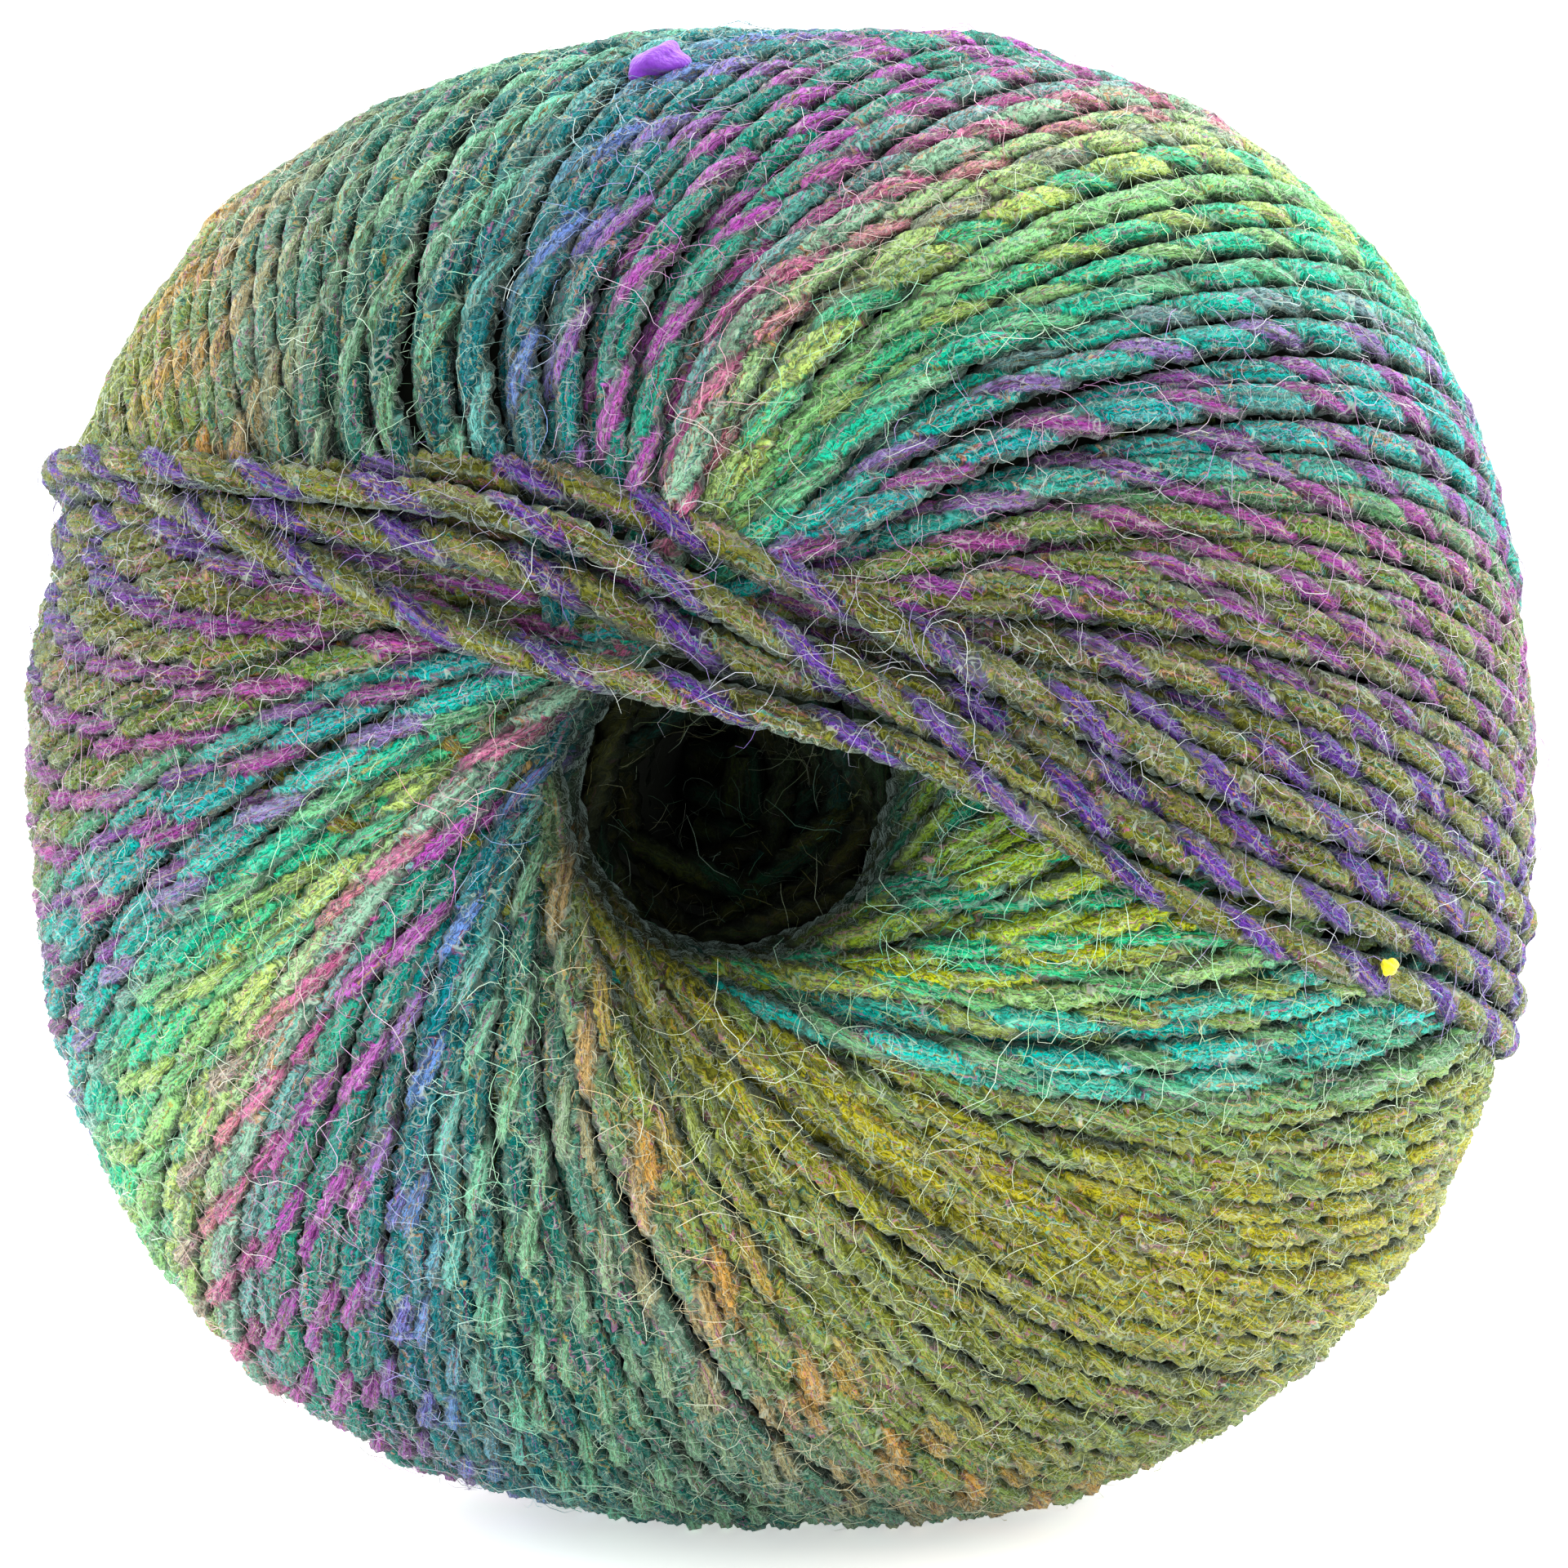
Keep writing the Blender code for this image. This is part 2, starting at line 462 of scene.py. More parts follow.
    def hiding(self, direction: np.ndarray, swing: np.ndarray) -> np.ndarray:
        """Finds where the strand runs below other turns, between 0 and 1.

        Turns wound inward show below the band of last turns, and turns wound outward above it.

        Args:
            direction: unit directions from the ball's middle.
            swing: each point's place in its turn.

        Returns:
            How deep it is hidden, from 0 to 1.
        """
        normal = self.band_normal()[0]
        nearest, beyond = self.on_circle(self.band_normal().repeat(2, 0), np.array([0.0, 0.5 * math.pi]))
        from_plane = self.form.radius * np.arcsin(np.clip(direction @ normal, -1.0, 1.0))
        along = np.degrees(np.arctan2(direction @ beyond, direction @ nearest))
        lower_edge = np.where(np.abs(along) < 95.0, self.offset(1, along), 0.0)
        upper_edge = np.where(np.abs(along) < 95.0, self.offset(3, along), 0.0)
        behind = smooth((np.abs(along) - 95.0) / 40.0)
        upper_edge = np.maximum(upper_edge, self.offset(0, along)) * (1.0 - behind) + 0.6 * MM
        lower_edge = lower_edge * (1.0 - behind) - 6.0 * MM * behind
        over = 3.0 * MM
        hidden_in = smooth((from_plane - lower_edge + 0.2 * over) / over)
        hidden_out = smooth((upper_edge - from_plane + 0.2 * over) / over)
        outward = smooth(0.5 + 0.5 * np.sin(swing + math.radians(6.0)) / math.sin(math.radians(10.0)))
        return (1.0 - outward) * hidden_in + outward * hidden_out

    def route(self) -> Route:
        """Works out the whole strand, the oldest turn first.

        Returns:
            The centre line and what goes with each of its points.
        """
        around = FULL_TURN * 0.955 * self.form.radius
        per_turn = int(round(around / self.step))
        since = np.linspace(self.turns_in_all, -0.46, int((self.turns_in_all + 0.46) * per_turn) + 1)
        turn = np.floor(since + 0.5)
        swing = (turn - since) * FULL_TURN
        is_last = smooth((len(self.last_turns) - 0.5 - since) / 0.24 + 0.5)
        direction = self.directions(since, swing, is_last)
        hidden = self.hiding(direction, swing) * (1.0 - is_last)
        sink = self.sinking(since, swing) * (1.0 - is_last)
        diameter = 2.0 * self.strand_radius
        uneven = self.wander(since, 12.0, 0.16 * MM, 4) + self.wander(since, 1.0, 0.22 * MM, 5)
        tucked = 7.0 * MM * smooth((-since - 0.40) / 0.06)
        lift = self.lifts(since) * is_last
        buried = 0.026 * MM * np.maximum(self.age_deg(since) - 186.0, 0.0)
        inset = self.strand_radius + sink + buried + 0.74 * diameter * hidden + uneven + tucked - lift
        point = self.form.place(direction, inset, is_last)
        girth = 1.0 + self.wander(since, 14.0, 0.07, 6) + self.wander(since, 1.0, 0.05, 7)
        girth *= 1.0 + 0.12 * smooth((7.0 - since) / 3.0)
        floor = 0.96 * self.strand_radius * girth
        point[:, 2] = np.maximum(point[:, 2], floor)
        length = np.linalg.norm(np.diff(point, axis=0), axis=1)
        run = np.concatenate([[0.0], np.cumsum(length)])
        polar = np.degrees(np.arccos(np.clip(np.abs(direction[:, 1]), 0.0, 1.0)))
        kept = (turn < self.whole_turns) | (polar < self.kept_polar_deg)
        age = self.age_deg(np.maximum(since, 0.0)) / 360.0
        return Route(point, age, run, girth, hidden, turn, kept)


@dataclass(frozen=True)
class Ply:
    """One ply of the strand's section: how far its middle lies from the strand's, and its radius."""

    offset: float
    radius: float


@dataclass(frozen=True)
class Strand:
    """The strand itself: a thicker and a thinner round ply that turn about each other."""

    first: Ply = Ply(0.16 * MM, 1.40 * MM)
    second: Ply = Ply(-0.64 * MM, 0.98 * MM)
    groove_place: float = -0.42 * MM
    groove_radius: float = 0.98 * MM
    twist_pitch: float = 12.0 * MM

    def section(self) -> bpy.types.Object:
        """Makes the closed line of the strand's section.

        Returns:
            The object, which isn't in the scene.
        """
        upper = []
        for ply, angle_deg in ((self.first, 30.0), (self.first, 84.0), (None, 0.0), (self.second, 146.0)):
            if ply is None:
                upper.append((self.groove_place, self.groove_radius))
                continue
            angle = math.radians(angle_deg)
            upper.append((ply.offset + ply.radius * math.cos(angle), ply.radius * math.sin(angle)))
        points = upper + [(x, -y) for x, y in reversed(upper)]
        mesh = bpy.data.meshes.new("strand_section")
        count = len(points)
        mesh.from_pydata([(x, y, 0.0) for x, y in points], [(i, (i + 1) % count) for i in range(count)], [])
        return bpy.data.objects.new("strand_section", mesh)

    def tree(self) -> bpy.types.NodeTree:
        """Builds the tree that sweeps the twisting section along each line of a mesh.

        Returns:
            The Geometry Nodes tree.
        """
        tree = bpy.data.node_groups.new("two_ply_strand", "GeometryNodeTree")
        face = tree.interface
        face.new_socket("Lines", in_out="INPUT", socket_type="NodeSocketGeometry")
        face.new_socket("Section", in_out="INPUT", socket_type="NodeSocketObject")
        face.new_socket("Twist Pitch", in_out="INPUT", socket_type="NodeSocketFloat")
        face.new_socket("Wool", in_out="INPUT", socket_type="NodeSocketMaterial")
        face.new_socket("Strand", in_out="OUTPUT", socket_type="NodeSocketGeometry")
        given = add(tree, "NodeGroupInput").outputs
        named = {
            name: add(
                tree,
                "GeometryNodeInputNamedAttribute",
                {"data_type": "FLOAT"},
                {"Name": name},
            ).outputs[0]
            for name in ("run", "girth")
        }
        twist = sum_node(tree, "DIVIDE", named["run"], given["Twist Pitch"])
        twist = sum_node(tree, "MULTIPLY", sum_node(tree, "FRACT", twist), FULL_TURN)
        lines = add(tree, "GeometryNodeMeshToCurve", links={"Mesh": given["Lines"]})
        tilted = add(
            tree, "GeometryNodeSetCurveTilt", links={"Curve": lines.outputs["Curve"], "Tilt": twist}
        )
        section = add(tree, "GeometryNodeObjectInfo", links={"Object": given["Section"]})
        ring = add(tree, "GeometryNodeMeshToCurve", links={"Mesh": section.outputs["Geometry"]})
        place = add(tree, "GeometryNodeInputPosition")
        capture = add(tree, "GeometryNodeCaptureAttribute", links={"Geometry": ring.outputs["Curve"]})
        capture.capture_items.new("VECTOR", "in_section")
        tree.links.new(place.outputs[0], capture.inputs["in_section"])
        swept = add(
            tree,
            "GeometryNodeCurveToMesh",
            values={"Fill Caps": True},
            links={
                "Curve": tilted.outputs["Curve"],
                "Profile Curve": capture.outputs["Geometry"],
                "Scale": named["girth"],
            },
        )
        parts = add(tree, "ShaderNodeSeparateXYZ", links={0: capture.outputs["in_section"]}).outputs
        is_first = sum_node(tree, "GREATER_THAN", parts["X"], self.groove_place)
        apart = self.first.offset - self.second.offset
        middle = sum_node(tree, "MULTIPLY_ADD", is_first, apart, self.second.offset)
        across = sum_node(tree, "SUBTRACT", parts["X"], middle)
        in_ply = add(tree, "ShaderNodeCombineXYZ", links={0: across, 1: parts["Y"]}).outputs[0]
        untwisted = add(
            tree,
            "ShaderNodeVectorRotate",
            {"rotation_type": "Z_AXIS"},
            links={"Vector": in_ply, "Angle": twist},
        )
        flat = add(tree, "ShaderNodeSeparateXYZ", links={0: untwisted.outputs[0]}).outputs
        coordinates = {
            "ply": add(
                tree, "ShaderNodeCombineXYZ", links={0: parts["X"], 1: parts["Y"], 2: named["run"]}
            ),
            "fibre": add(tree, "ShaderNodeCombineXYZ", links={0: flat["X"], 1: flat["Y"], 2: named["run"]}),
        }
        made = swept.outputs["Mesh"]
        for name, node in coordinates.items():
            stored = add(
                tree,
                "GeometryNodeStoreNamedAttribute",
                {"data_type": "FLOAT_VECTOR", "domain": "POINT"},
                {"Name": name},
                {"Geometry": made, "Value": node.outputs[0]},
            )
            made = stored.outputs["Geometry"]
        soft = add(tree, "GeometryNodeSetShadeSmooth", links={"Geometry": made})
        finish_tree(tree, soft.outputs["Geometry"], given["Wool"], "Strand")
        return tree

    def sweep(self, pieces: list[bpy.types.Object], wool: bpy.types.Material) -> None:
        """Turns pieces of bare lines to strand.

        Args:
            pieces: the pieces.
            wool: the strand's material.
        """
        section = self.section()
        tree = self.tree()
        for piece in pieces:
            run_tree(piece, tree, {"Section": section, "Twist Pitch": self.twist_pitch, "Wool": wool})
        bpy.data.objects.remove(section)


def sum_node(
    tree: bpy.types.NodeTree,
    operation: str,
    first: bpy.types.NodeSocket | float,
    second: bpy.types.NodeSocket | float | None = None,
    third: bpy.types.NodeSocket | float | None = None,
) -> bpy.types.NodeSocket:
    """Adds one Math node.

    Args:
        tree: the tree that takes it.
        operation: the Math node's operation.
        first: the first term, a socket or a number.
        second: the second term.
        third: the third term.

    Returns:
        The socket that gives the result.
    """
    values: dict[str | int, Any] = {}
    links: dict[str | int, bpy.types.NodeSocket] = {}
    for place, term in enumerate((first, second, third)):
        if isinstance(term, bpy.types.NodeSocket):
            links[place] = term
        elif term is not None:
            values[place] = term
    return add(tree, "ShaderNodeMath", {"operation": operation}, values, links).outputs[0]


def finish_tree(
    tree: bpy.types.NodeTree,
    geometry: bpy.types.NodeSocket,
    material: bpy.types.NodeSocket,
    output: str,
) -> None:
    """Ends a Geometry Nodes tree in Realize Instances and Set Material.

    Args:
        tree: the tree.
        geometry: what it has made.
        material: the material that it gets.
        output: the name of the tree's output.
    """
    real = add(tree, "GeometryNodeRealizeInstances", links={"Geometry": geometry})
    dressed = add(
        tree,
        "GeometryNodeSetMaterial",
        links={"Geometry": real.outputs["Geometry"], "Material": material},
    )
    add(tree, "NodeGroupOutput", links={output: dressed.outputs["Geometry"]})


def run_tree(piece: bpy.types.Object, tree: bpy.types.NodeTree, inputs: dict[str, Any]) -> None:
    """Runs a tree on a piece and keeps the result as its plain mesh.

    Args:
        piece: the object, which isn't evaluated yet.
        tree: the Geometry Nodes tree.
        inputs: the values of the tree's inputs, by name.
    """
    modifier = piece.modifiers.new("build", "NODES")
    modifier.node_group = tree
    identifiers = {
        item.name: item.identifier
        for item in tree.interface.items_tree
        if item.item_type == "SOCKET" and item.in_out == "INPUT"
    }
    for name, value in inputs.items():
        modifier[identifiers[name]] = value
    depsgraph = bpy.context.evaluated_depsgraph_get()
    made = bpy.data.meshes.new_from_object(
        piece.evaluated_get(depsgraph), preserve_all_data_layers=True, depsgraph=depsgraph
    )
    piece.modifiers.remove(modifier)
    old = piece.data
    piece.data = made
    made.name = piece.name
    bpy.data.meshes.remove(old)


def settle(piece: bpy.types.Object, floor: float = 0.0) -> None:
    """Presses what would reach below the floor flat against it.

    Args:
        piece: a piece with a plain mesh.
        floor: the floor's height.
    """
    points = np.empty(len(piece.data.vertices) * 3, np.float32)
    piece.data.vertices.foreach_get("co", points)
    points[2::3] = np.maximum(points[2::3], floor)
    piece.data.vertices.foreach_set("co", points)
    piece.data.update()


def new_piece(name: str, mesh: bpy.types.Mesh) -> bpy.types.Object:
    """Makes an object of a mesh and puts it in the scene.

    Args:
        name: the piece's name.
        mesh: its mesh.

    Returns:
        The object.
    """
    piece = bpy.data.objects.new(name, mesh)
    bpy.context.scene.collection.objects.link(piece)
    return piece


def give(piece: bpy.types.Object) -> None:
    """Makes a finished piece ride on the ball's body.

    Args:
        piece: the finished piece.
    """
    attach(piece, BODY)
    triangles = sum(len(polygon.vertices) - 2 for polygon in piece.data.polygons)
    LOG.info("%s: %d triangles", piece.name, triangles)


@dataclass(frozen=True)
class DyeStop:
    """The colours of both plies at one age of the yarn, as degrees of winding since."""

    age_deg: float
    first_ply: str
    second_ply: str


@dataclass(frozen=True)
class DyedWool:
    """Self-striping woollen yarn: long blended stripes of dyed fibre, plied two together.

    To the eye it is matt and deep, with streaks of several colours in each ply, dark grooves between
    the plies and a pale bloom of loose fibre towards the edges. The shade between the fibres, in the
    grooves between the plies, on the strand's flanks and in the centre hole is painted into the colour.
    """

    stops: tuple[DyeStop, ...] = (
        DyeStop(0, "#7d7f2c", "#6a40a2"),
        DyeStop(9, "#78792d", "#6c429c"),
        DyeStop(15, "#7a7c2f", "#92459c"),
        DyeStop(22, "#768231", "#984897"),
        DyeStop(28, "#6e8a37", "#ac4f9c"),
        DyeStop(33, "#05ada2", "#8556a2"),
        DyeStop(38, "#05a5a2", "#a34798"),
        DyeStop(43, "#05b7a8", "#986dbc"),
        DyeStop(48, "#06bd9b", "#71d099"),
        DyeStop(54, "#29d099", "#c7dd72"),
        DyeStop(59, "#c6dd77", "#3ed39b"),
        DyeStop(64, "#b1d892", "#e7949f"),
        DyeStop(69, "#7cb5b2", "#d063a8"),
        DyeStop(75, "#05a081", "#be58be"),
        DyeStop(82, "#048a80", "#c069bc"),
        DyeStop(89, "#047c82", "#6e8bd4"),
        DyeStop(96, "#047178", "#78d0af"),
        DyeStop(104, "#036862", "#89c195"),
        DyeStop(112, "#287665", "#8aba95"),
        DyeStop(121, "#69947b", "#b7a57a"),
        DyeStop(130, "#869c4f", "#d09d4e"),
        DyeStop(140, "#828a34", "#9eb05e"),
        DyeStop(150, "#808533", "#a1a539"),
        DyeStop(160, "#938f27", "#b1ad23"),
        DyeStop(168, "#aea61c", "#828a2f"),
        DyeStop(181, "#7d8832", "#89ae5e"),
        DyeStop(186, "#03c2b8", "#3fb592"),
        DyeStop(194, "#03c0b0", "#a2ab3c"),
        DyeStop(203, "#babe1b", "#14cb90"),
        DyeStop(215, "#a8be23", "#10c08c"),
        DyeStop(240, "#88a733", "#189c7b"),
    )
    pale_fibre: str = "#c3cebd"
    bloom: str = "#d4f0e6"
    # The colour of painted shade: between the fibres, between the plies, on the flanks and in the hole; also of the
    # random dark patches.
    painted_shade: str = "#10160f"
    stray_dyes: tuple[str, str, str] = ("#b98a3a", "#238f8b", "#b15c93")
    strand_radius: float = 1.5 * MM
    ply_radius: float = 1.2 * MM
    fibre_width: float = 0.18 * MM
    fibre_stretch: float = 0.06
    stir_size: float = 0.9 * MM
    stir_depth: float = 0.75 * MM
    first_ply_share: float = 0.28
    curl_sizes: tuple[float, ...] = (3.4 * MM, 2.4 * MM, 1.7 * MM, 1.2 * MM)

    def ramp(
        self, tree: bpy.types.NodeTree, age: bpy.types.NodeSocket, second: bool
    ) -> bpy.types.NodeSocket:
        """Adds the dye of one ply as a ramp over the yarn's age.

        Args:
            tree: the material's tree.
            age: the socket that gives the age, as a share of a full turn about the hole.
            second: whether it is the second ply.

        Returns:
            The colour socket.
        """
        node = add(tree, "ShaderNodeValToRGB", links={"Fac": age})
        elements = node.color_ramp.elements
        while len(elements) > 1:
            elements.remove(elements[-1])
        for place, stop in enumerate(self.stops):
            position = stop.age_deg / 360.0
            element = elements[0] if place == 0 else elements.new(position)
            element.position = position
            element.color = linear(stop.second_ply if second else stop.first_ply)
        return node.outputs["Color"]

    def streaks(
        self,
        tree: bpy.types.NodeTree,
        along: bpy.types.NodeSocket,
        width: float,
        shift: float,
        detail: float = 1.0,
    ) -> bpy.types.Node:
        """Adds noise that follows the fibres, or any other coordinates that it gets.

        Args:
            tree: the material's tree.
            along: coordinates in metres.
            width: the width of one streak.
            shift: an offset that makes this layer unlike the others.
            detail: how many finer layers it has.

        Returns:
            The noise node.
        """
        moved = add(
            tree, "ShaderNodeVectorMath", {"operation": "ADD"}, {1: (shift, shift, shift)}, {0: along}
        )
        return add(
            tree,
            "ShaderNodeTexNoise",
            values={"Scale": 1.0 / width, "Detail": detail, "Roughness": 0.6},
            links={"Vector": moved.outputs[0]},
        )

    def hairlines(
        self,
        tree: bpy.types.NodeTree,
        where: bpy.types.NodeSocket,
        size: float,
        shift: float,
        width: float,
    ) -> bpy.types.NodeSocket:
        """Adds thin curly lines, like single fibres that lie on the surface.

        Args:
            tree: the material's tree.
            where: coordinates in metres.
            size: the size of the curls.
            shift: an offset that makes this layer unlike the others.
            width: the lines' width, as a share of the noise's range.

        Returns:
            The mask socket, 1 on the lines.
        """
        noise = self.streaks(tree, where, size, shift, 0.6).outputs["Fac"]
        away = sum_node(tree, "ABSOLUTE", sum_node(tree, "SUBTRACT", noise, 0.5))
        return self.window(tree, away, width, 0.25 * width)

    def in_the_hole(
        self, tree: bpy.types.NodeTree, where: bpy.types.NodeSocket, top: float = 0.94
    ) -> bpy.types.NodeSocket:
        """Finds how far into the shade of the centre hole a point lies; that shade is painted into the colour.

        Args:
            tree: the material's tree.
            where: the point, in metres.
            top: what the mask reaches.

        Returns:
            The mask socket.
        """
        offset = add(
            tree, "ShaderNodeVectorMath", {"operation": "SUBTRACT"}, {1: (0.0, 0.0, WoundForm().middle)}, {0: where}
        ).outputs[0]
        parts = add(tree, "ShaderNodeSeparateXYZ", links={0: offset}).outputs
        squares = sum_node(tree, "POWER", parts["X"], 2.0)
        squares = sum_node(tree, "MULTIPLY_ADD", parts["Z"], parts["Z"], squares)
        rho = sum_node(tree, "SQRT", squares)
        depth = sum_node(tree, "ABSOLUTE", parts["Y"])
        near = self.window(tree, rho, 23.0 * MM, 12.0 * MM)
        return sum_node(tree, "MULTIPLY", near, self.window(tree, depth, 65.0 * MM, 51.0 * MM, top))

    def between_turns(self, tree: bpy.types.NodeTree, where: bpy.types.NodeSocket) -> bpy.types.NodeSocket:
        """Finds the flanks of the strand, which lie in the shade between neighbouring turns; that shade is painted
        into the colour.

        Args:
            tree: the material's tree.
            where: the point, in metres.

        Returns:
            The mask socket.
        """
        middle = {1: (0.0, 0.0, WoundForm().middle)}
        offset = add(tree, "ShaderNodeVectorMath", {"operation": "SUBTRACT"}, middle, {0: where}).outputs[0]
        outward = add(tree, "ShaderNodeVectorMath", {"operation": "NORMALIZE"}, links={0: offset}).outputs[0]
        normal = add(tree, "ShaderNodeNewGeometry").outputs["Normal"]
        facing = add(
            tree, "ShaderNodeVectorMath", {"operation": "DOT_PRODUCT"}, links={0: outward, 1: normal}
        ).outputs["Value"]
        return self.window(tree, facing, 0.82, 0.2, 0.78)

    def blend(
        self,
        tree: bpy.types.NodeTree,
        share: bpy.types.NodeSocket,
        first: bpy.types.NodeSocket | tuple,
        second: bpy.types.NodeSocket | tuple,
    ) -> bpy.types.NodeSocket:
        """Mixes two colours.

        Args:
            tree: the material's tree.
            share: how much of the second colour shows.
            first: the first colour, a socket or a value.
            second: the second colour, a socket or a value.

        Returns:
            The mixed colour.
        """
        node = add(tree, "ShaderNodeMix", {"data_type": "RGBA"}, links={0: share})
        for place, colour in ((6, first), (7, second)):
            if isinstance(colour, bpy.types.NodeSocket):
                tree.links.new(colour, node.inputs[place])
            else:
                node.inputs[place].default_value = colour
        return node.outputs[2]

    def window(
        self, tree: bpy.types.NodeTree, value: bpy.types.NodeSocket, low: float, high: float, top: float = 1.0
    ) -> bpy.types.NodeSocket:
        """Turns a value to a soft mask that rises between two limits.

        Args:
            tree: the material's tree.
            value: the value.
            low: where the mask starts.
            high: where it is full.
            top: what it reaches.

        Returns:
            The mask socket.
        """
        node = add(
            tree,
            "ShaderNodeMapRange",
            {"interpolation_type": "SMOOTHSTEP"},
            {"From Min": low, "From Max": high, "To Max": top},
            {"Value": value},
        )
        return node.outputs["Result"]

    def material(self, name: str, shade: float = 0.0) -> bpy.types.Material:
        """Builds the wool's material.

        Args:
            name: the material's name.
            shade: how far it is darkened all over with painted shade.

        Returns:
            The material.
        """
        material = bpy.data.materials.new(name)
        material.use_nodes = True
        tree = material.node_tree
        shader = tree.nodes["Principled BSDF"]
        age = add(tree, "ShaderNodeAttribute", {"attribute_name": "age"}).outputs["Fac"]
        ply = add(tree, "ShaderNodeAttribute", {"attribute_name": "ply"}).outputs["Vector"]
        fibre = add(tree, "ShaderNodeAttribute", {"attribute_name": "fibre"}).outputs["Vector"]
        where = add(tree, "ShaderNodeTexCoord").outputs["Object"]
        parts = add(tree, "ShaderNodeSeparateXYZ", links={0: ply}).outputs
        side = sum_node(tree, "DIVIDE", parts["X"], self.strand_radius)
        side = sum_node(tree, "ADD", side, self.first_ply_share)
        run = sum_node(tree, "MULTIPLY", parts["Z"], self.fibre_stretch)
        run = add(tree, "ShaderNodeCombineXYZ", links={"Z": run}).outputs[0]
        around = add(
            tree, "ShaderNodeVectorMath", {"operation": "MULTIPLY"}, {1: (1.0, 1.0, 0.0)}, {0: fibre}
        ).outputs[0]
        around = add(tree, "ShaderNodeVectorMath", {"operation": "NORMALIZE"}, links={0: around}).outputs[0]
        ply_radius = (self.ply_radius, self.ply_radius, 0.0)
        along = add(
            tree, "ShaderNodeVectorMath", {"operation": "MULTIPLY_ADD"}, {1: ply_radius}, {0: around, 2: run}
        ).outputs[0]
        stir = self.streaks(tree, where, self.stir_size, 51.3, 2.0).outputs["Color"]
        stir = add(
            tree, "ShaderNodeVectorMath", {"operation": "SUBTRACT"}, {1: (0.5, 0.5, 0.5)}, {0: stir}
        ).outputs[0]
        stirred = {1: (self.stir_depth,) * 3}
        along = add(
            tree, "ShaderNodeVectorMath", {"operation": "MULTIPLY_ADD"}, stirred, {0: stir, 2: along}
        ).outputs[0]
        broad = self.streaks(tree, along, 3.0 * self.fibre_width, 3.1).outputs["Fac"]
        fine = self.streaks(tree, along, self.fibre_width, 7.7, 2.0).outputs["Fac"]
        flecks = self.streaks(tree, along, 1.9 * self.fibre_width, 21.9)
        patches = self.streaks(tree, along, 0.75 * MM, 33.3)
        wobble = sum_node(tree, "MULTIPLY_ADD", broad, 1.6, -0.8)
        which = self.window(tree, sum_node(tree, "ADD", wobble, side), -0.16, 0.16)
        first = self.ramp(tree, age, False)
        second = self.ramp(tree, age, True)
        own = self.blend(tree, which, second, first)
        other = self.blend(tree, which, first, second)
        blotches = add(tree, "ShaderNodeSeparateColor", links={0: patches.outputs["Color"]}).outputs
        mingled = self.window(tree, blotches["Red"], 0.45, 0.66, 0.30)
        colour = self.blend(tree, mingled, own, self.blend(tree, mingled, own, other))
        colour = self.blend(tree, self.window(tree, flecks.outputs["Fac"], 0.55, 0.65, 0.45), colour, other)
        strays = add(tree, "ShaderNodeSeparateColor", links={0: flecks.outputs["Color"]}).outputs
        for channel, dye in zip(("Red", "Green", "Blue"), self.stray_dyes):
            mask = self.window(tree, strays[channel], 0.61, 0.69, 0.66)
            colour = self.blend(tree, mask, colour, linear(dye))
        # Painted shade between the fibres, where the fine streaks are low.
        depth = self.window(tree, fine, 0.60, 0.36, 0.72)
        colour = self.blend(tree, depth, colour, linear(self.painted_shade))
        # Painted shade along the line between the two plies.
        painted_shade = self.window(tree, sum_node(tree, "ABSOLUTE", side), 0.30, 0.0, 0.62)
        colour = self.blend(tree, painted_shade, colour, linear(self.painted_shade))
        dusk = self.window(tree, blotches["Blue"], 0.49, 0.64, 0.52)
        colour = self.blend(tree, dusk, colour, linear(self.painted_shade))
        # Painted shade on the strand's flanks, between neighbouring turns.
        painted_flank_shade = self.between_turns(tree, where)
        colour = self.blend(tree, painted_flank_shade, colour, linear(self.painted_shade))
        tone = self.window(tree, blotches["Green"], 0.47, 0.66, 0.12)
        colour = self.blend(tree, tone, colour, linear(self.pale_fibre))
        pale = self.window(tree, fine, 0.62, 0.78, 0.24)
        for number, size in enumerate(self.curl_sizes):
            curls = self.hairlines(tree, where, size, 3.0 + 7.0 * number, 0.0085)
            pale = sum_node(tree, "MAXIMUM", pale, sum_node(tree, "MULTIPLY", curls, 0.40))
        colour = self.blend(tree, pale, colour, linear(self.pale_fibre))
        # Painted shade in the centre hole, and all over where the material is shaded.
        deep = self.in_the_hole(tree, where)
        if shade > 0.0:
            deep = sum_node(tree, "MAXIMUM", deep, shade)
        colour = self.blend(tree, deep, colour, linear(self.painted_shade))
        tree.links.new(colour, shader.inputs["Base Color"])
        height = sum_node(tree, "ADD", broad, sum_node(tree, "MULTIPLY", fine, 0.7))
        height = sum_node(tree, "ADD", height, sum_node(tree, "MULTIPLY", pale, 0.3))
        bump = add(
            tree,
            "ShaderNodeBump",
            values={"Strength": 1.0, "Distance": 0.20 * MM},
            links={"Height": height},
        )
        tree.links.new(bump.outputs["Normal"], shader.inputs["Normal"])
        shader.inputs["Roughness"].default_value = 0.95
        shader.inputs["Specular IOR Level"].default_value = 0.1
        shader.inputs["Sheen Weight"].default_value = 0.0 if shade > 0.0 else 0.34
        shader.inputs["Sheen Roughness"].default_value = 0.3
        shader.inputs["Sheen Tint"].default_value = linear(self.bloom)
        return material

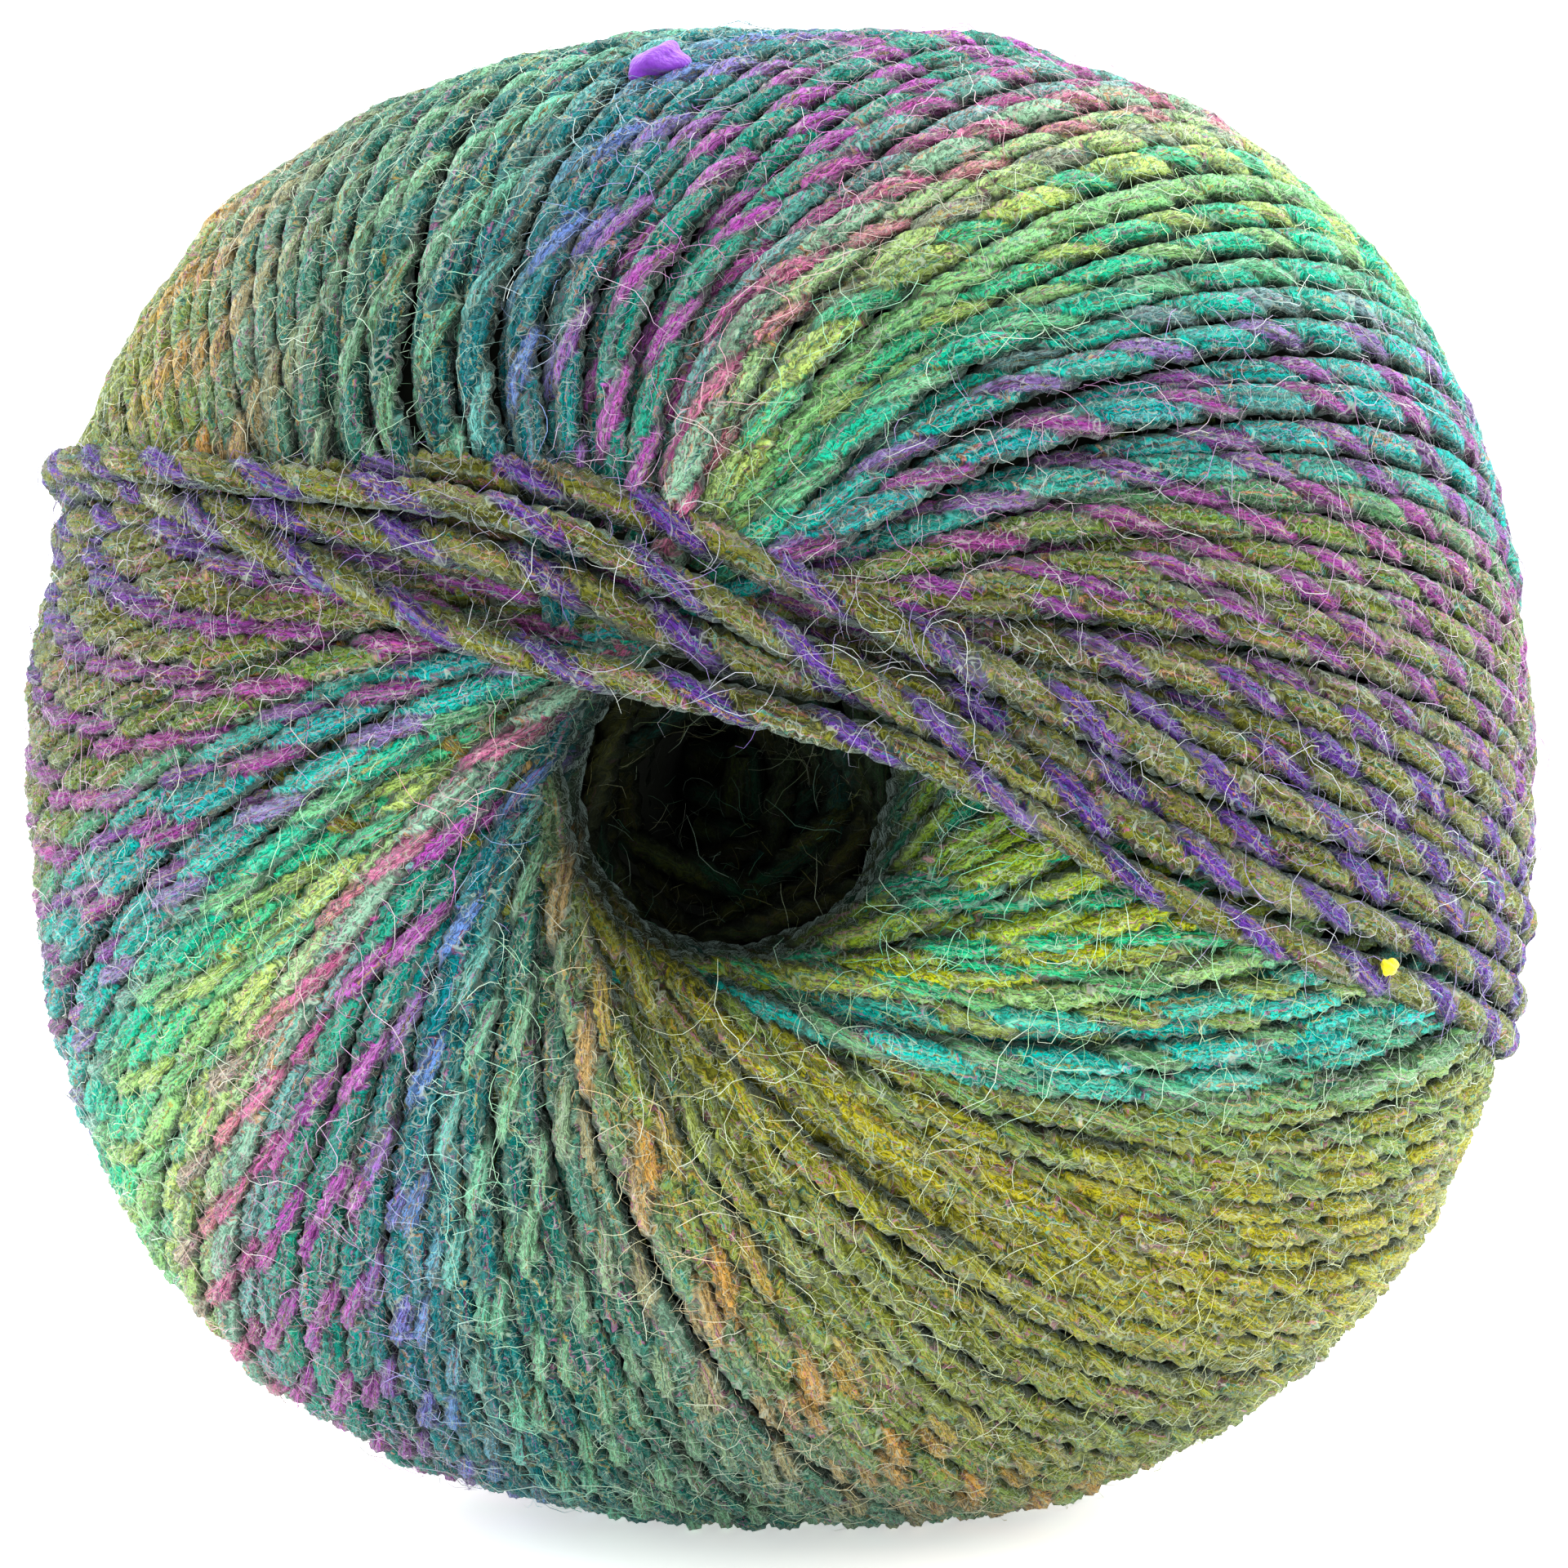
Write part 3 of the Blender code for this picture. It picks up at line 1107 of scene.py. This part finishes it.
    def loose_material(self, name: str) -> bpy.types.Material:
        """Builds the material of the loose fibres that stand off the strand, pale and a little dyed.

        Those inside the hole are darkened with painted shade, like the wool that they stand off.

        Args:
            name: the material's name.

        Returns:
            The material.
        """
        material = bpy.data.materials.new(name)
        material.use_nodes = True
        tree = material.node_tree
        shader = tree.nodes["Principled BSDF"]
        age = add(tree, "ShaderNodeAttribute", {"attribute_name": "age"}).outputs["Fac"]
        tint = add(tree, "ShaderNodeAttribute", {"attribute_name": "pallor"}).outputs["Fac"]
        dyed = self.ramp(tree, age, True)
        colour = self.blend(tree, tint, dyed, linear(self.pale_fibre))
        where = add(tree, "ShaderNodeTexCoord").outputs["Object"]
        # Painted shade on the fibres inside the hole.
        colour = self.blend(tree, self.in_the_hole(tree, where, 0.78), colour, linear(self.painted_shade))
        tree.links.new(colour, shader.inputs["Base Color"])
        shader.inputs["Roughness"].default_value = 0.6
        shader.inputs["Specular IOR Level"].default_value = 0.3
        shader.inputs["Sheen Weight"].default_value = 0.2
        return material


@dataclass(frozen=True)
class YarnTurns:
    """The wound strand, in a few pieces of whole turns."""

    winding: Winding = field(default_factory=Winding)
    strand: Strand = field(default_factory=Strand)
    pieces: int = 4

    def lines(self, name: str, route: Route, chosen: np.ndarray) -> bpy.types.Object:
        """Makes a piece of bare lines along the chosen points of the route.

        Args:
            name: the piece's name.
            route: the whole route.
            chosen: which of its points are taken.

        Returns:
            The object, with the strand's values stored on its points.
        """
        index = np.nonzero(chosen)[0]
        joined = np.nonzero(np.diff(index) == 1)[0]
        mesh = bpy.data.meshes.new(name)
        mesh.from_pydata(route.point[index].tolist(), np.stack([joined, joined + 1], 1).tolist(), [])
        for key, values in (
            ("age", route.age),
            ("run", route.run),
            ("girth", route.girth),
            ("hidden", route.hidden),
        ):
            layer = mesh.attributes.new(key, "FLOAT", "POINT")
            layer.data.foreach_set("value", values[index].astype(np.float32))
        return new_piece(name, mesh)

    def build(self, wool: bpy.types.Material) -> list[bpy.types.Object]:
        """Builds the strand round the ball.

        Args:
            wool: its material.

        Returns:
            The pieces, the youngest turns first.
        """
        route = self.winding.route()
        LOG.info("strand: %.1f m in %d points", route.run[-1], len(route.run))
        limits = np.quantile(route.turn[route.kept], np.linspace(0.0, 1.0, self.pieces + 1))
        limits[0] = -1.0
        made = []
        for number in range(self.pieces):
            after_first = route.turn > limits[number]
            chosen = after_first & (route.turn <= limits[number + 1]) & route.kept
            piece = self.lines(f"yarn_turns_{number + 1}", route, chosen)
            made.append(piece)
        self.strand.sweep(made, wool)
        for piece in made:
            settle(piece)
        return made


@dataclass(frozen=True)
class InnerTurns:
    """The older turns that show inside the hole, as tangent runs at several depths."""

    winding: Winding = field(default_factory=Winding)
    strand: Strand = field(default_factory=Strand)
    layer_radii: tuple[float, ...] = (52 * MM, 48 * MM, 44 * MM, 39 * MM, 33 * MM, 26 * MM, 18 * MM)
    pass_radii: tuple[float, ...] = (14.2 * MM, 12.6 * MM, 10.4 * MM, 8.0 * MM, 6.6 * MM, 6.2 * MM, 6.2 * MM)
    sag: float = -3.6 * MM
    around: int = 12
    half_length: float = 12.0 * MM
    samples: int = 13
    end_reach: tuple[float, float] = (-30.0 * MM, 36.0 * MM)
    end_loops: int = 34
    end_radius: float = 6.4 * MM

    def loose_end(self) -> np.ndarray:
        """Lays the inner end of the yarn, which hangs in loose loops in the hole.

        Returns:
            The points of its centre line.
        """
        draws = np.random.default_rng(self.winding.seed + 51)
        knots = 3 * self.end_loops
        angle = draws.uniform(0.0, FULL_TURN, knots)
        radius = self.end_radius * np.sqrt(draws.uniform(0.15, 1.0, knots))
        along = np.linspace(*self.end_reach, knots) + draws.normal(0.0, 2.0 * MM, knots)
        corner = np.stack([radius * np.cos(angle), along, radius * np.sin(angle)], axis=1)
        place = np.linspace(0.0, knots - 1.0, 7 * knots)
        low = np.minimum(place.astype(int), knots - 2)
        rise = smooth(place - low)[:, None]
        path = corner[low] * (1.0 - rise) + corner[low + 1] * rise
        path += np.array([-0.5 * MM, 0.0, self.winding.form.middle])
        return path

    def build(self, wool: bpy.types.Material) -> bpy.types.Object:
        """Builds the runs at both mouths.

        Args:
            wool: their material.

        Returns:
            The piece.
        """
        points, edges, age, run = [], [], [], []
        draws = np.random.default_rng(self.winding.seed + 50)
        for pole in Pole:
            for layer, (deep_radius, pass_radius) in enumerate(zip(self.layer_radii, self.pass_radii)):
                for number in range(self.around):
                    lean = FULL_TURN * (number + 0.4 * layer + 0.3 * draws.random()) / self.around
                    radius = deep_radius + draws.normal(0.0, 1.1 * MM)
                    off = math.asin(pass_radius * draws.uniform(0.86, 1.3) / radius)
                    normal = self.winding.normal(np.array([lean]), np.array([off]), 0.0)[0]
                    front = np.array([0.0, -1.0, 0.0])
                    nearest = front - (normal @ front) * normal
                    nearest /= np.linalg.norm(nearest)
                    beyond = np.cross(normal, nearest)
                    swing = np.linspace(-1.0, 1.0, self.samples)[:, None] * self.half_length / radius
                    path = radius * (np.cos(swing) * nearest + np.sin(swing) * beyond)
                    path[:, 1] *= -pole.value
                    path[:, 0] += self.sag * smooth((50.0 * MM - radius) / (16.0 * MM))
                    path[:, 2] += self.winding.form.middle
                    start = len(points)
                    points += path.tolist()
                    edges += [(start + i, start + i + 1) for i in range(self.samples - 1)]
                    tone = (150.0 + 60.0 * draws.random()) / 360.0
                    age += [tone] * self.samples
                    offset = 40.0 + len(points) * 0.01
                    run += (offset + (swing[:, 0] + 1.0) * radius).tolist()
        end = self.loose_end()
        start = len(points)
        points += end.tolist()
        edges += [(start + i, start + i + 1) for i in range(len(end) - 1)]
        age += [0.62] * len(end)
        run += (90.0 + np.arange(len(end)) * 0.9 * MM).tolist()
        mesh = bpy.data.meshes.new("yarn_inner")
        mesh.from_pydata(points, edges, [])
        plain = [1.0] * len(age)
        for key, values in (("age", age), ("run", run), ("girth", plain), ("hidden", [0.0] * len(age))):
            mesh.attributes.new(key, "FLOAT", "POINT").data.foreach_set("value", values)
        piece = new_piece("yarn_inner", mesh)
        self.strand.sweep([piece], wool)
        return piece


@dataclass(frozen=True)
class UnderWinding:
    """The shadowed wool just below the outer turns, closed all over and open along the hole; its dark colour is
    painted shade.
    """

    form: WoundForm = field(default_factory=WoundForm)
    inset: float = 4.3 * MM
    hole_radius: float = 15.0 * MM
    waist_radius: float = 7.8 * MM
    around: int = 96
    along: int = 48
    down_hole: int = 10

    def build(self, wool: bpy.types.Material) -> bpy.types.Object:
        """Builds the closed ring-shaped body.

        Args:
            wool: its material.

        Returns:
            The piece.
        """
        start = math.asin(self.hole_radius / (self.form.radius * self.form.shortness - self.inset))
        polar = np.linspace(start, math.pi - start, self.along)
        rings = []
        for number in range(self.around):
            bearing = FULL_TURN * number / self.around
            direction = np.stack(
                [
                    np.sin(polar) * math.cos(bearing),
                    -np.cos(polar),
                    np.sin(polar) * math.sin(bearing),
                ],
                axis=1,
            )
            outside = self.form.place(direction, self.inset)
            share = np.linspace(0.0, 1.0, self.down_hole + 2)[1:-1, None]
            inside = outside[-1] * (1.0 - share) + outside[0] * share
            narrowing = smooth((1.0 - np.abs(2.0 * share[:, 0] - 1.0)) / 0.5)
            width = 1.0 - narrowing * (1.0 - self.waist_radius / self.hole_radius)
            inside[:, 0] *= width
            inside[:, 2] = self.form.middle + (inside[:, 2] - self.form.middle) * width
            rings.append(np.concatenate([outside, inside]))
        points = np.concatenate(rings)
        points[:, 2] = np.maximum(points[:, 2], 1.2 * MM)
        count = self.along + self.down_hole
        faces = []
        for i in range(self.around):
            here, there = i * count, ((i + 1) % self.around) * count
            for j in range(count):
                k = (j + 1) % count
                faces.append((here + j, here + k, there + k, there + j))
        mesh = bpy.data.meshes.new("under_winding")
        mesh.from_pydata(points.tolist(), [], faces)
        mesh.shade_smooth()
        mesh.materials.append(wool)
        return new_piece("under_winding", mesh)


@dataclass(frozen=True)
class ShadowedWool:
    """Packed wool in the shade between the turns: dark, matt and felted; the dark colours are painted shade."""

    dark: str = "#0e120d"
    light: str = "#262c1e"
    tuft_size: float = 3.0 * MM

    def material(self, name: str) -> bpy.types.Material:
        """Builds the material.

        Args:
            name: the material's name.

        Returns:
            The material.
        """
        material = bpy.data.materials.new(name)
        material.use_nodes = True
        tree = material.node_tree
        shader = tree.nodes["Principled BSDF"]
        where = add(tree, "ShaderNodeTexCoord").outputs["Object"]
        noise = add(
            tree,
            "ShaderNodeTexNoise",
            values={"Scale": 1.0 / self.tuft_size, "Detail": 4.0},
            links={"Vector": where},
        ).outputs["Fac"]
        colour = add(tree, "ShaderNodeMix", {"data_type": "RGBA"}, links={0: noise})
        colour.inputs[6].default_value = linear(self.dark)
        colour.inputs[7].default_value = linear(self.light)
        tree.links.new(colour.outputs[2], shader.inputs["Base Color"])
        bump = add(
            tree, "ShaderNodeBump", values={"Strength": 0.7, "Distance": 0.5 * MM}, links={"Height": noise}
        )
        tree.links.new(bump.outputs["Normal"], shader.inputs["Normal"])
        shader.inputs["Roughness"].default_value = 1.0
        return material


@dataclass(frozen=True)
class LooseFibres:
    """The pale fuzz: single curly fibres that lie over the turns, as thin ribbons."""

    shapes: int = 20
    segments: int = 7
    width: float = 0.056 * MM
    lengths: tuple[float, float] = (3.5 * MM, 11.0 * MM)
    heights: tuple[float, float] = (0.15 * MM, 0.95 * MM)
    bend_per_mm: float = 0.5
    density: float = 262000.0
    hole_density: float = 80000.0
    seed: int = 23

    def fibre(self, number: int) -> bpy.types.Object:
        """Makes one curly fibre, both ends tucked into the wool.

        Args:
            number: which of the shapes it is.

        Returns:
            The object, which isn't in the scene.
        """
        draws = np.random.default_rng(self.seed + number)
        length = draws.uniform(*self.lengths)
        height = draws.uniform(*self.heights)
        share = np.linspace(0.0, 1.0, self.segments + 1)
        bend = draws.normal(0.0, self.bend_per_mm) / MM * length
        wave = draws.normal(0.0, 1.2)
        waves = draws.uniform(1.0, 1.8)
        phase = draws.uniform(0.0, FULL_TURN)
        heading = bend * (share - 0.5) + wave * np.sin(FULL_TURN * waves * share + phase)
        step = length / self.segments
        flat = np.stack([np.cos(heading), np.sin(heading)], axis=1)
        path = np.concatenate([[[0.0, 0.0]], np.cumsum(0.5 * (flat[1:] + flat[:-1]) * step, axis=0)])
        path -= path.mean(axis=0)
        rise = height * np.sin(math.pi * share) * (1.0 + 0.5 * np.sin(9.0 * share + phase)) - 0.12 * MM
        centre = np.concatenate([path, rise[:, None]], axis=1)
        roll = draws.uniform(-0.9, 0.9) + draws.uniform(-1.2, 1.2) * share
        sideways = np.stack([-np.sin(heading), np.cos(heading), np.zeros_like(heading)], axis=1)
        arm = np.cos(roll)[:, None] * sideways + np.sin(roll)[:, None] * np.array([0.0, 0.0, 1.0])
        arm *= (0.5 * self.width * (1.0 - 0.6 * np.abs(2.0 * share - 1.0) ** 2))[:, None]
        edges = np.stack([centre - arm, centre + arm], axis=1).reshape(-1, 3)
        faces = [(2 * i, 2 * i + 2, 2 * i + 3, 2 * i + 1) for i in range(self.segments)]
        mesh = bpy.data.meshes.new(f"fibre_{number}")
        mesh.from_pydata(edges.tolist(), [], faces)
        mesh.shade_smooth()
        return bpy.data.objects.new(f"fibre_{number}", mesh)

    def tree(self, form: WoundForm) -> bpy.types.NodeTree:
        """Builds the tree that lays fibres on the outward side of the turns that show.

        Args:
            form: the ball's form, for its middle.

        Returns:
            The Geometry Nodes tree.
        """
        tree = bpy.data.node_groups.new("loose_fibres", "GeometryNodeTree")
        face = tree.interface
        face.new_socket("Strand", in_out="INPUT", socket_type="NodeSocketGeometry")
        face.new_socket("Fibres", in_out="INPUT", socket_type="NodeSocketCollection")
        face.new_socket("Density", in_out="INPUT", socket_type="NodeSocketFloat")
        face.new_socket("Least Facing", in_out="INPUT", socket_type="NodeSocketFloat")
        face.new_socket("Seed", in_out="INPUT", socket_type="NodeSocketInt")
        face.new_socket("Wool", in_out="INPUT", socket_type="NodeSocketMaterial")
        face.new_socket("Fuzz", in_out="OUTPUT", socket_type="NodeSocketGeometry")
        given = add(tree, "NodeGroupInput").outputs
        place = add(tree, "GeometryNodeInputPosition").outputs[0]
        normal = add(tree, "GeometryNodeInputNormal").outputs[0]
        hidden = add(
            tree, "GeometryNodeInputNamedAttribute", {"data_type": "FLOAT"}, {"Name": "hidden"}
        ).outputs[0]
        from_middle = add(
            tree, "ShaderNodeVectorMath", {"operation": "SUBTRACT"}, {1: (0.0, 0.0, form.middle)}, {0: place}
        ).outputs[0]
        outward = add(
            tree, "ShaderNodeVectorMath", {"operation": "NORMALIZE"}, links={0: from_middle}
        ).outputs[0]
        facing = add(
            tree, "ShaderNodeVectorMath", {"operation": "DOT_PRODUCT"}, links={0: outward, 1: normal}
        ).outputs["Value"]
        height = add(tree, "ShaderNodeSeparateXYZ", links={0: place}).outputs["Z"]
        shows = sum_node(tree, "GREATER_THAN", facing, given["Least Facing"])
        shows = sum_node(tree, "MULTIPLY", shows, sum_node(tree, "LESS_THAN", hidden, 0.4))
        shows = sum_node(tree, "MULTIPLY", shows, sum_node(tree, "GREATER_THAN", height, 3.0 * MM))
        spread = add(
            tree,
            "GeometryNodeDistributePointsOnFaces",
            {"distribute_method": "RANDOM"},
            links={
                "Mesh": given["Strand"],
                "Selection": shows,
                "Density": given["Density"],
                "Seed": given["Seed"],
            },
        )
        upright = add(tree, "FunctionNodeAlignRotationToVector", {"axis": "Z"}, links={"Vector": outward})
        turn = self.random(tree, given["Seed"], "FLOAT", 0.0, FULL_TURN)
        spin = add(
            tree, "FunctionNodeAxisAngleToRotation", values={"Axis": (0.0, 0.0, 1.0)}, links={"Angle": turn}
        )
        rotation = add(
            tree,
            "FunctionNodeRotateRotation",
            {"rotation_space": "LOCAL"},
            links={"Rotation": upright.outputs["Rotation"], "Rotate By": spin.outputs[0]},
        )
        fibres = add(
            tree,
            "GeometryNodeCollectionInfo",
            values={"Separate Children": True, "Reset Children": True},
            links={"Collection": given["Fibres"]},
        )
        scattered = add(
            tree,
            "GeometryNodeInstanceOnPoints",
            values={"Pick Instance": True},
            links={
                "Points": spread.outputs["Points"],
                "Instance": fibres.outputs[0],
                "Instance Index": self.random(tree, given["Seed"], "INT", 0, self.shapes - 1),
                "Rotation": rotation.outputs[0],
                "Scale": self.random(tree, given["Seed"], "FLOAT", 0.7, 1.25),
            },
        )
        tinted = add(
            tree,
            "GeometryNodeStoreNamedAttribute",
            {"data_type": "FLOAT", "domain": "INSTANCE"},
            {"Name": "pallor"},
            {
                "Geometry": scattered.outputs["Instances"],
                "Value": self.random(tree, given["Seed"], "FLOAT", 0.1, 0.9),
            },
        )
        finish_tree(tree, tinted.outputs["Geometry"], given["Wool"], "Fuzz")
        return tree

    @staticmethod
    def random(
        tree: bpy.types.NodeTree, seed: bpy.types.NodeSocket, kind: str, low: float, high: float
    ) -> bpy.types.NodeSocket:
        """Adds a seeded random value, unlike the others in the tree.

        Args:
            tree: the tree that takes it.
            seed: the tree's seed.
            kind: FLOAT or INT.
            low: the least value.
            high: the greatest value.

        Returns:
            The value's socket.
        """
        own_seed = sum_node(tree, "ADD", seed, float(len(tree.nodes)))
        node = add(tree, "FunctionNodeRandomValue", {"data_type": kind}, links={"Seed": own_seed})
        first = 2 if kind == "FLOAT" else 4
        node.inputs[first].default_value = low
        node.inputs[first + 1].default_value = high
        return node.outputs[1 if kind == "FLOAT" else 2]

    def build(
        self,
        turns: list[bpy.types.Object],
        inner: bpy.types.Object,
        form: WoundForm,
        wool: bpy.types.Material,
    ) -> list[bpy.types.Object]:
        """Lays fibres on each piece of the strand.

        Args:
            turns: the strand's pieces.
            inner: the turns inside the hole.
            form: the ball's form.
            wool: the fibres' material.

        Returns:
            One piece of fibres for each piece of strand.
        """
        store = bpy.data.collections.new("fibre_shapes")
        fibres = [self.fibre(number) for number in range(self.shapes)]
        for fibre in fibres:
            store.objects.link(fibre)
        tree = self.tree(form)
        made = []
        for number, strand in enumerate([*turns, inner]):
            piece = new_piece(f"loose_fibres_{number + 1}", strand.data.copy())
            in_hole = strand is inner
            inputs = {
                "Fibres": store,
                "Density": self.hole_density if in_hole else self.density,
                "Least Facing": -2.0 if in_hole else 0.55,
                "Seed": self.seed + 100 * number,
                "Wool": wool,
            }
            run_tree(piece, tree, inputs)
            settle(piece)
            made.append(piece)
        for fibre in fibres:
            bpy.data.objects.remove(fibre)
        bpy.data.collections.remove(store)
        return made


@dataclass(frozen=True)
class Tuft:
    """A stray tuft of felted fibre caught in the strand."""

    name: str
    bearing_deg: float
    polar_deg: float
    size: tuple[float, float, float]
    turn_deg: float
    colour: str
    seed: int
    lift: float

    def material(self) -> bpy.types.Material:
        """Builds the felted wool of one plain dye, with lighter and darker fibres in it."""
        material = bpy.data.materials.new(f"felted_tuft_{self.name}")
        material.use_nodes = True
        tree = material.node_tree
        shader = tree.nodes["Principled BSDF"]
        where = add(tree, "ShaderNodeTexCoord").outputs["Object"]
        noise = add(
            tree, "ShaderNodeTexNoise", values={"Scale": 1.0 / (0.5 * MM), "Detail": 3.0}, links={"Vector": where}
        ).outputs["Fac"]
        red, green, blue, alpha = linear(self.colour)
        mix = add(tree, "ShaderNodeMix", {"data_type": "RGBA"}, links={0: noise})
        mix.inputs[6].default_value = (0.55 * red, 0.55 * green, 0.55 * blue, alpha)
        mix.inputs[7].default_value = (min(1.0, 1.5 * red), min(1.0, 1.5 * green), min(1.0, 1.5 * blue), alpha)
        tree.links.new(mix.outputs[2], shader.inputs["Base Color"])
        bump = add(
            tree, "ShaderNodeBump", values={"Strength": 0.8, "Distance": 0.3 * MM}, links={"Height": noise}
        )
        tree.links.new(bump.outputs["Normal"], shader.inputs["Normal"])
        shader.inputs["Roughness"].default_value = 0.95
        shader.inputs["Sheen Weight"].default_value = 0.3
        return material

    def build(self, form: WoundForm) -> bpy.types.Object:
        """Builds the tuft on the ball's surface.

        Args:
            form: the ball's form.

        Returns:
            The piece.
        """
        bearing, polar = math.radians(self.bearing_deg), math.radians(self.polar_deg)
        out = Vector((math.sin(polar) * math.cos(bearing), -math.cos(polar), math.sin(polar) * math.sin(bearing)))
        centre = Vector(form.place(np.array([out]), -self.lift)[0])
        across = out.cross(Vector((0.0, 0.0, 1.0))).normalized()
        upward = across.cross(out)
        turn = math.radians(self.turn_deg)
        first = math.cos(turn) * across + math.sin(turn) * upward
        second = out.cross(first)
        import bmesh

        shape = bmesh.new()
        bmesh.ops.create_icosphere(shape, subdivisions=4, radius=1.0)
        draws = np.random.default_rng(self.seed)
        waves = draws.normal(0.0, 2.6, (9, 3))
        starts = draws.uniform(0.0, FULL_TURN, 9)
        for vertex in shape.verts:
            at = np.array(vertex.co)
            swell = 1.0 + 0.075 * float(np.sin(waves @ at + starts).sum())
            x, y, z = (at * swell) * np.array(self.size) * 0.5
            vertex.co = centre + first * x + second * y + out * z
        mesh = bpy.data.meshes.new(self.name)
        shape.to_mesh(mesh)
        shape.free()
        mesh.shade_smooth()
        mesh.materials.append(self.material())
        return new_piece(self.name, mesh)


@dataclass(frozen=True)
class Studio:
    """A pale sweep, soft light all round and the camera of the photograph."""

    azimuth_deg: float = 4.4
    elevation_deg: float = 1.4
    distance: float = 412.8 * MM
    lens: float = 104.5
    raised_px: float = 8.0
    frame_px: float = 1920.0
    floor_half: float = 4.0
    sweep_from: float = 1.2
    sweep_radius: float = 1.0
    sweep_height: float = 3.0

    def camera(self, middle: Vector) -> None:
        """Sets up the camera at the photograph's angle.

        Args:
            middle: the ball's middle.
        """
        azimuth, elevation = math.radians(self.azimuth_deg), math.radians(self.elevation_deg)
        away = Vector(
            (
                math.sin(azimuth) * math.cos(elevation),
                -math.cos(azimuth) * math.cos(elevation),
                math.sin(elevation),
            )
        )
        data = bpy.data.cameras.new("camera")
        data.lens = self.lens
        data.sensor_width = 36.0
        data.clip_start = 0.01
        data.shift_y = -self.raised_px / self.frame_px
        camera = bpy.data.objects.new("camera", data)
        camera.location = middle + away * self.distance
        camera.rotation_euler = away.to_track_quat("Z", "Y").to_euler()
        bpy.context.scene.collection.objects.link(camera)
        bpy.context.scene.camera = camera

    def sweep(self) -> bpy.types.Object:
        """Builds the floor that curves up into a backdrop, and returns it."""
        profile = [(-self.floor_half, 0.0), (self.sweep_from, 0.0)]
        for step in range(1, 17):
            angle = 0.5 * math.pi * step / 16
            y = self.sweep_from + self.sweep_radius * math.sin(angle)
            profile.append((y, self.sweep_radius * (1.0 - math.cos(angle))))
        profile.append((self.sweep_from + self.sweep_radius, self.sweep_height))
        points = [(x, y, z) for x in (-self.floor_half, self.floor_half) for y, z in profile]
        count = len(profile)
        faces = [(i, count + i, count + i + 1, i + 1) for i in range(count - 1)]
        mesh = bpy.data.meshes.new("sweep")
        mesh.from_pydata(points, [], faces)
        mesh.shade_smooth()
        material = bpy.data.materials.new("backlit_white_acrylic")
        material.use_nodes = True
        shader = material.node_tree.nodes["Principled BSDF"]
        shader.inputs["Base Color"].default_value = linear("#ffffff")
        shader.inputs["Emission Color"].default_value = linear("#ffffff")
        shader.inputs["Emission Strength"].default_value = 0.45
        shader.inputs["Roughness"].default_value = 1.0
        shader.inputs["Specular IOR Level"].default_value = 0.0
        mesh.materials.append(material)
        return new_piece("sweep", mesh)

    def light(self, name: str, place: tuple, at: Vector, size: float, energy: float) -> None:
        """Adds one soft box.

        Args:
            name: the light's name.
            place: where it stands.
            at: what it points at.
            size: its side.
            energy: its power in watts.
        """
        data = bpy.data.lights.new(name, "AREA")
        data.size = size
        data.energy = energy
        lamp = bpy.data.objects.new(name, data)
        lamp.location = place
        lamp.rotation_euler = (Vector(place) - at).to_track_quat("Z", "Y").to_euler()
        bpy.context.scene.collection.objects.link(lamp)

    def build(self, middle: Vector) -> None:
        """Sets up the sweep, the lights, the world and the camera.

        Args:
            middle: the ball's middle.
        """
        self.sweep()
        world = bpy.data.worlds.new("soft_light")
        world.use_nodes = True
        background = world.node_tree.nodes["Background"]
        background.inputs["Color"].default_value = linear("#fbfcff")
        background.inputs["Strength"].default_value = 1.0
        bpy.context.scene.world = world
        self.light("top_box", (0.15, 0.3, 0.9), middle, 0.7, 12.0)
        self.light("left_box", (-0.8, 0.42, 0.25), middle, 0.6, 9.0)
        self.light("right_box", (0.8, 0.42, 0.25), middle, 0.6, 9.0)
        bpy.context.scene.view_settings.view_transform = "Standard"
        bpy.context.scene.view_settings.look = "Medium High Contrast"
        self.camera(middle)


TUFTS = (
    Tuft("purple_tuft", 97.5, 63.5, (3.9 * MM, 5.2 * MM, 2.6 * MM), 12.0, "#7d3cb0", 5, 0.0),
    Tuft("yellow_fleck", -15.0, 50.0, (1.9 * MM, 1.4 * MM, 1.0 * MM), 0.0, "#dccb12", 6, 1.7 * MM),
)


def main() -> None:
    """Loads the frame and builds the ball's looks round it."""
    logging.basicConfig(level=logging.INFO, format="%(name)s: %(message)s")
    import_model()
    form = WoundForm()
    dye = DyedWool()
    winding = Winding(form=form)
    strand = Strand()
    wool = dye.material("two_ply_wool")
    turns = YarnTurns(winding, strand).build(wool)
    # The turns inside the hole get painted shade over their dye.
    inner = InnerTurns(winding, strand).build(dye.material("shaded_two_ply_wool", 0.78))
    under = UnderWinding(form).build(ShadowedWool().material("shadowed_wool"))
    fibres = LooseFibres().build(turns, inner, form, dye.loose_material("loose_wool_fibre"))
    tufts = [tuft.build(form) for tuft in TUFTS]
    for piece in [*turns, inner, under, *fibres, *tufts]:
        give(piece)
    for piece in [*turns, inner, under]:
        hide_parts(NODE)
    Studio().build(Vector((0.0, 0.0, form.middle)))


if __name__ == "__main__":
    main()
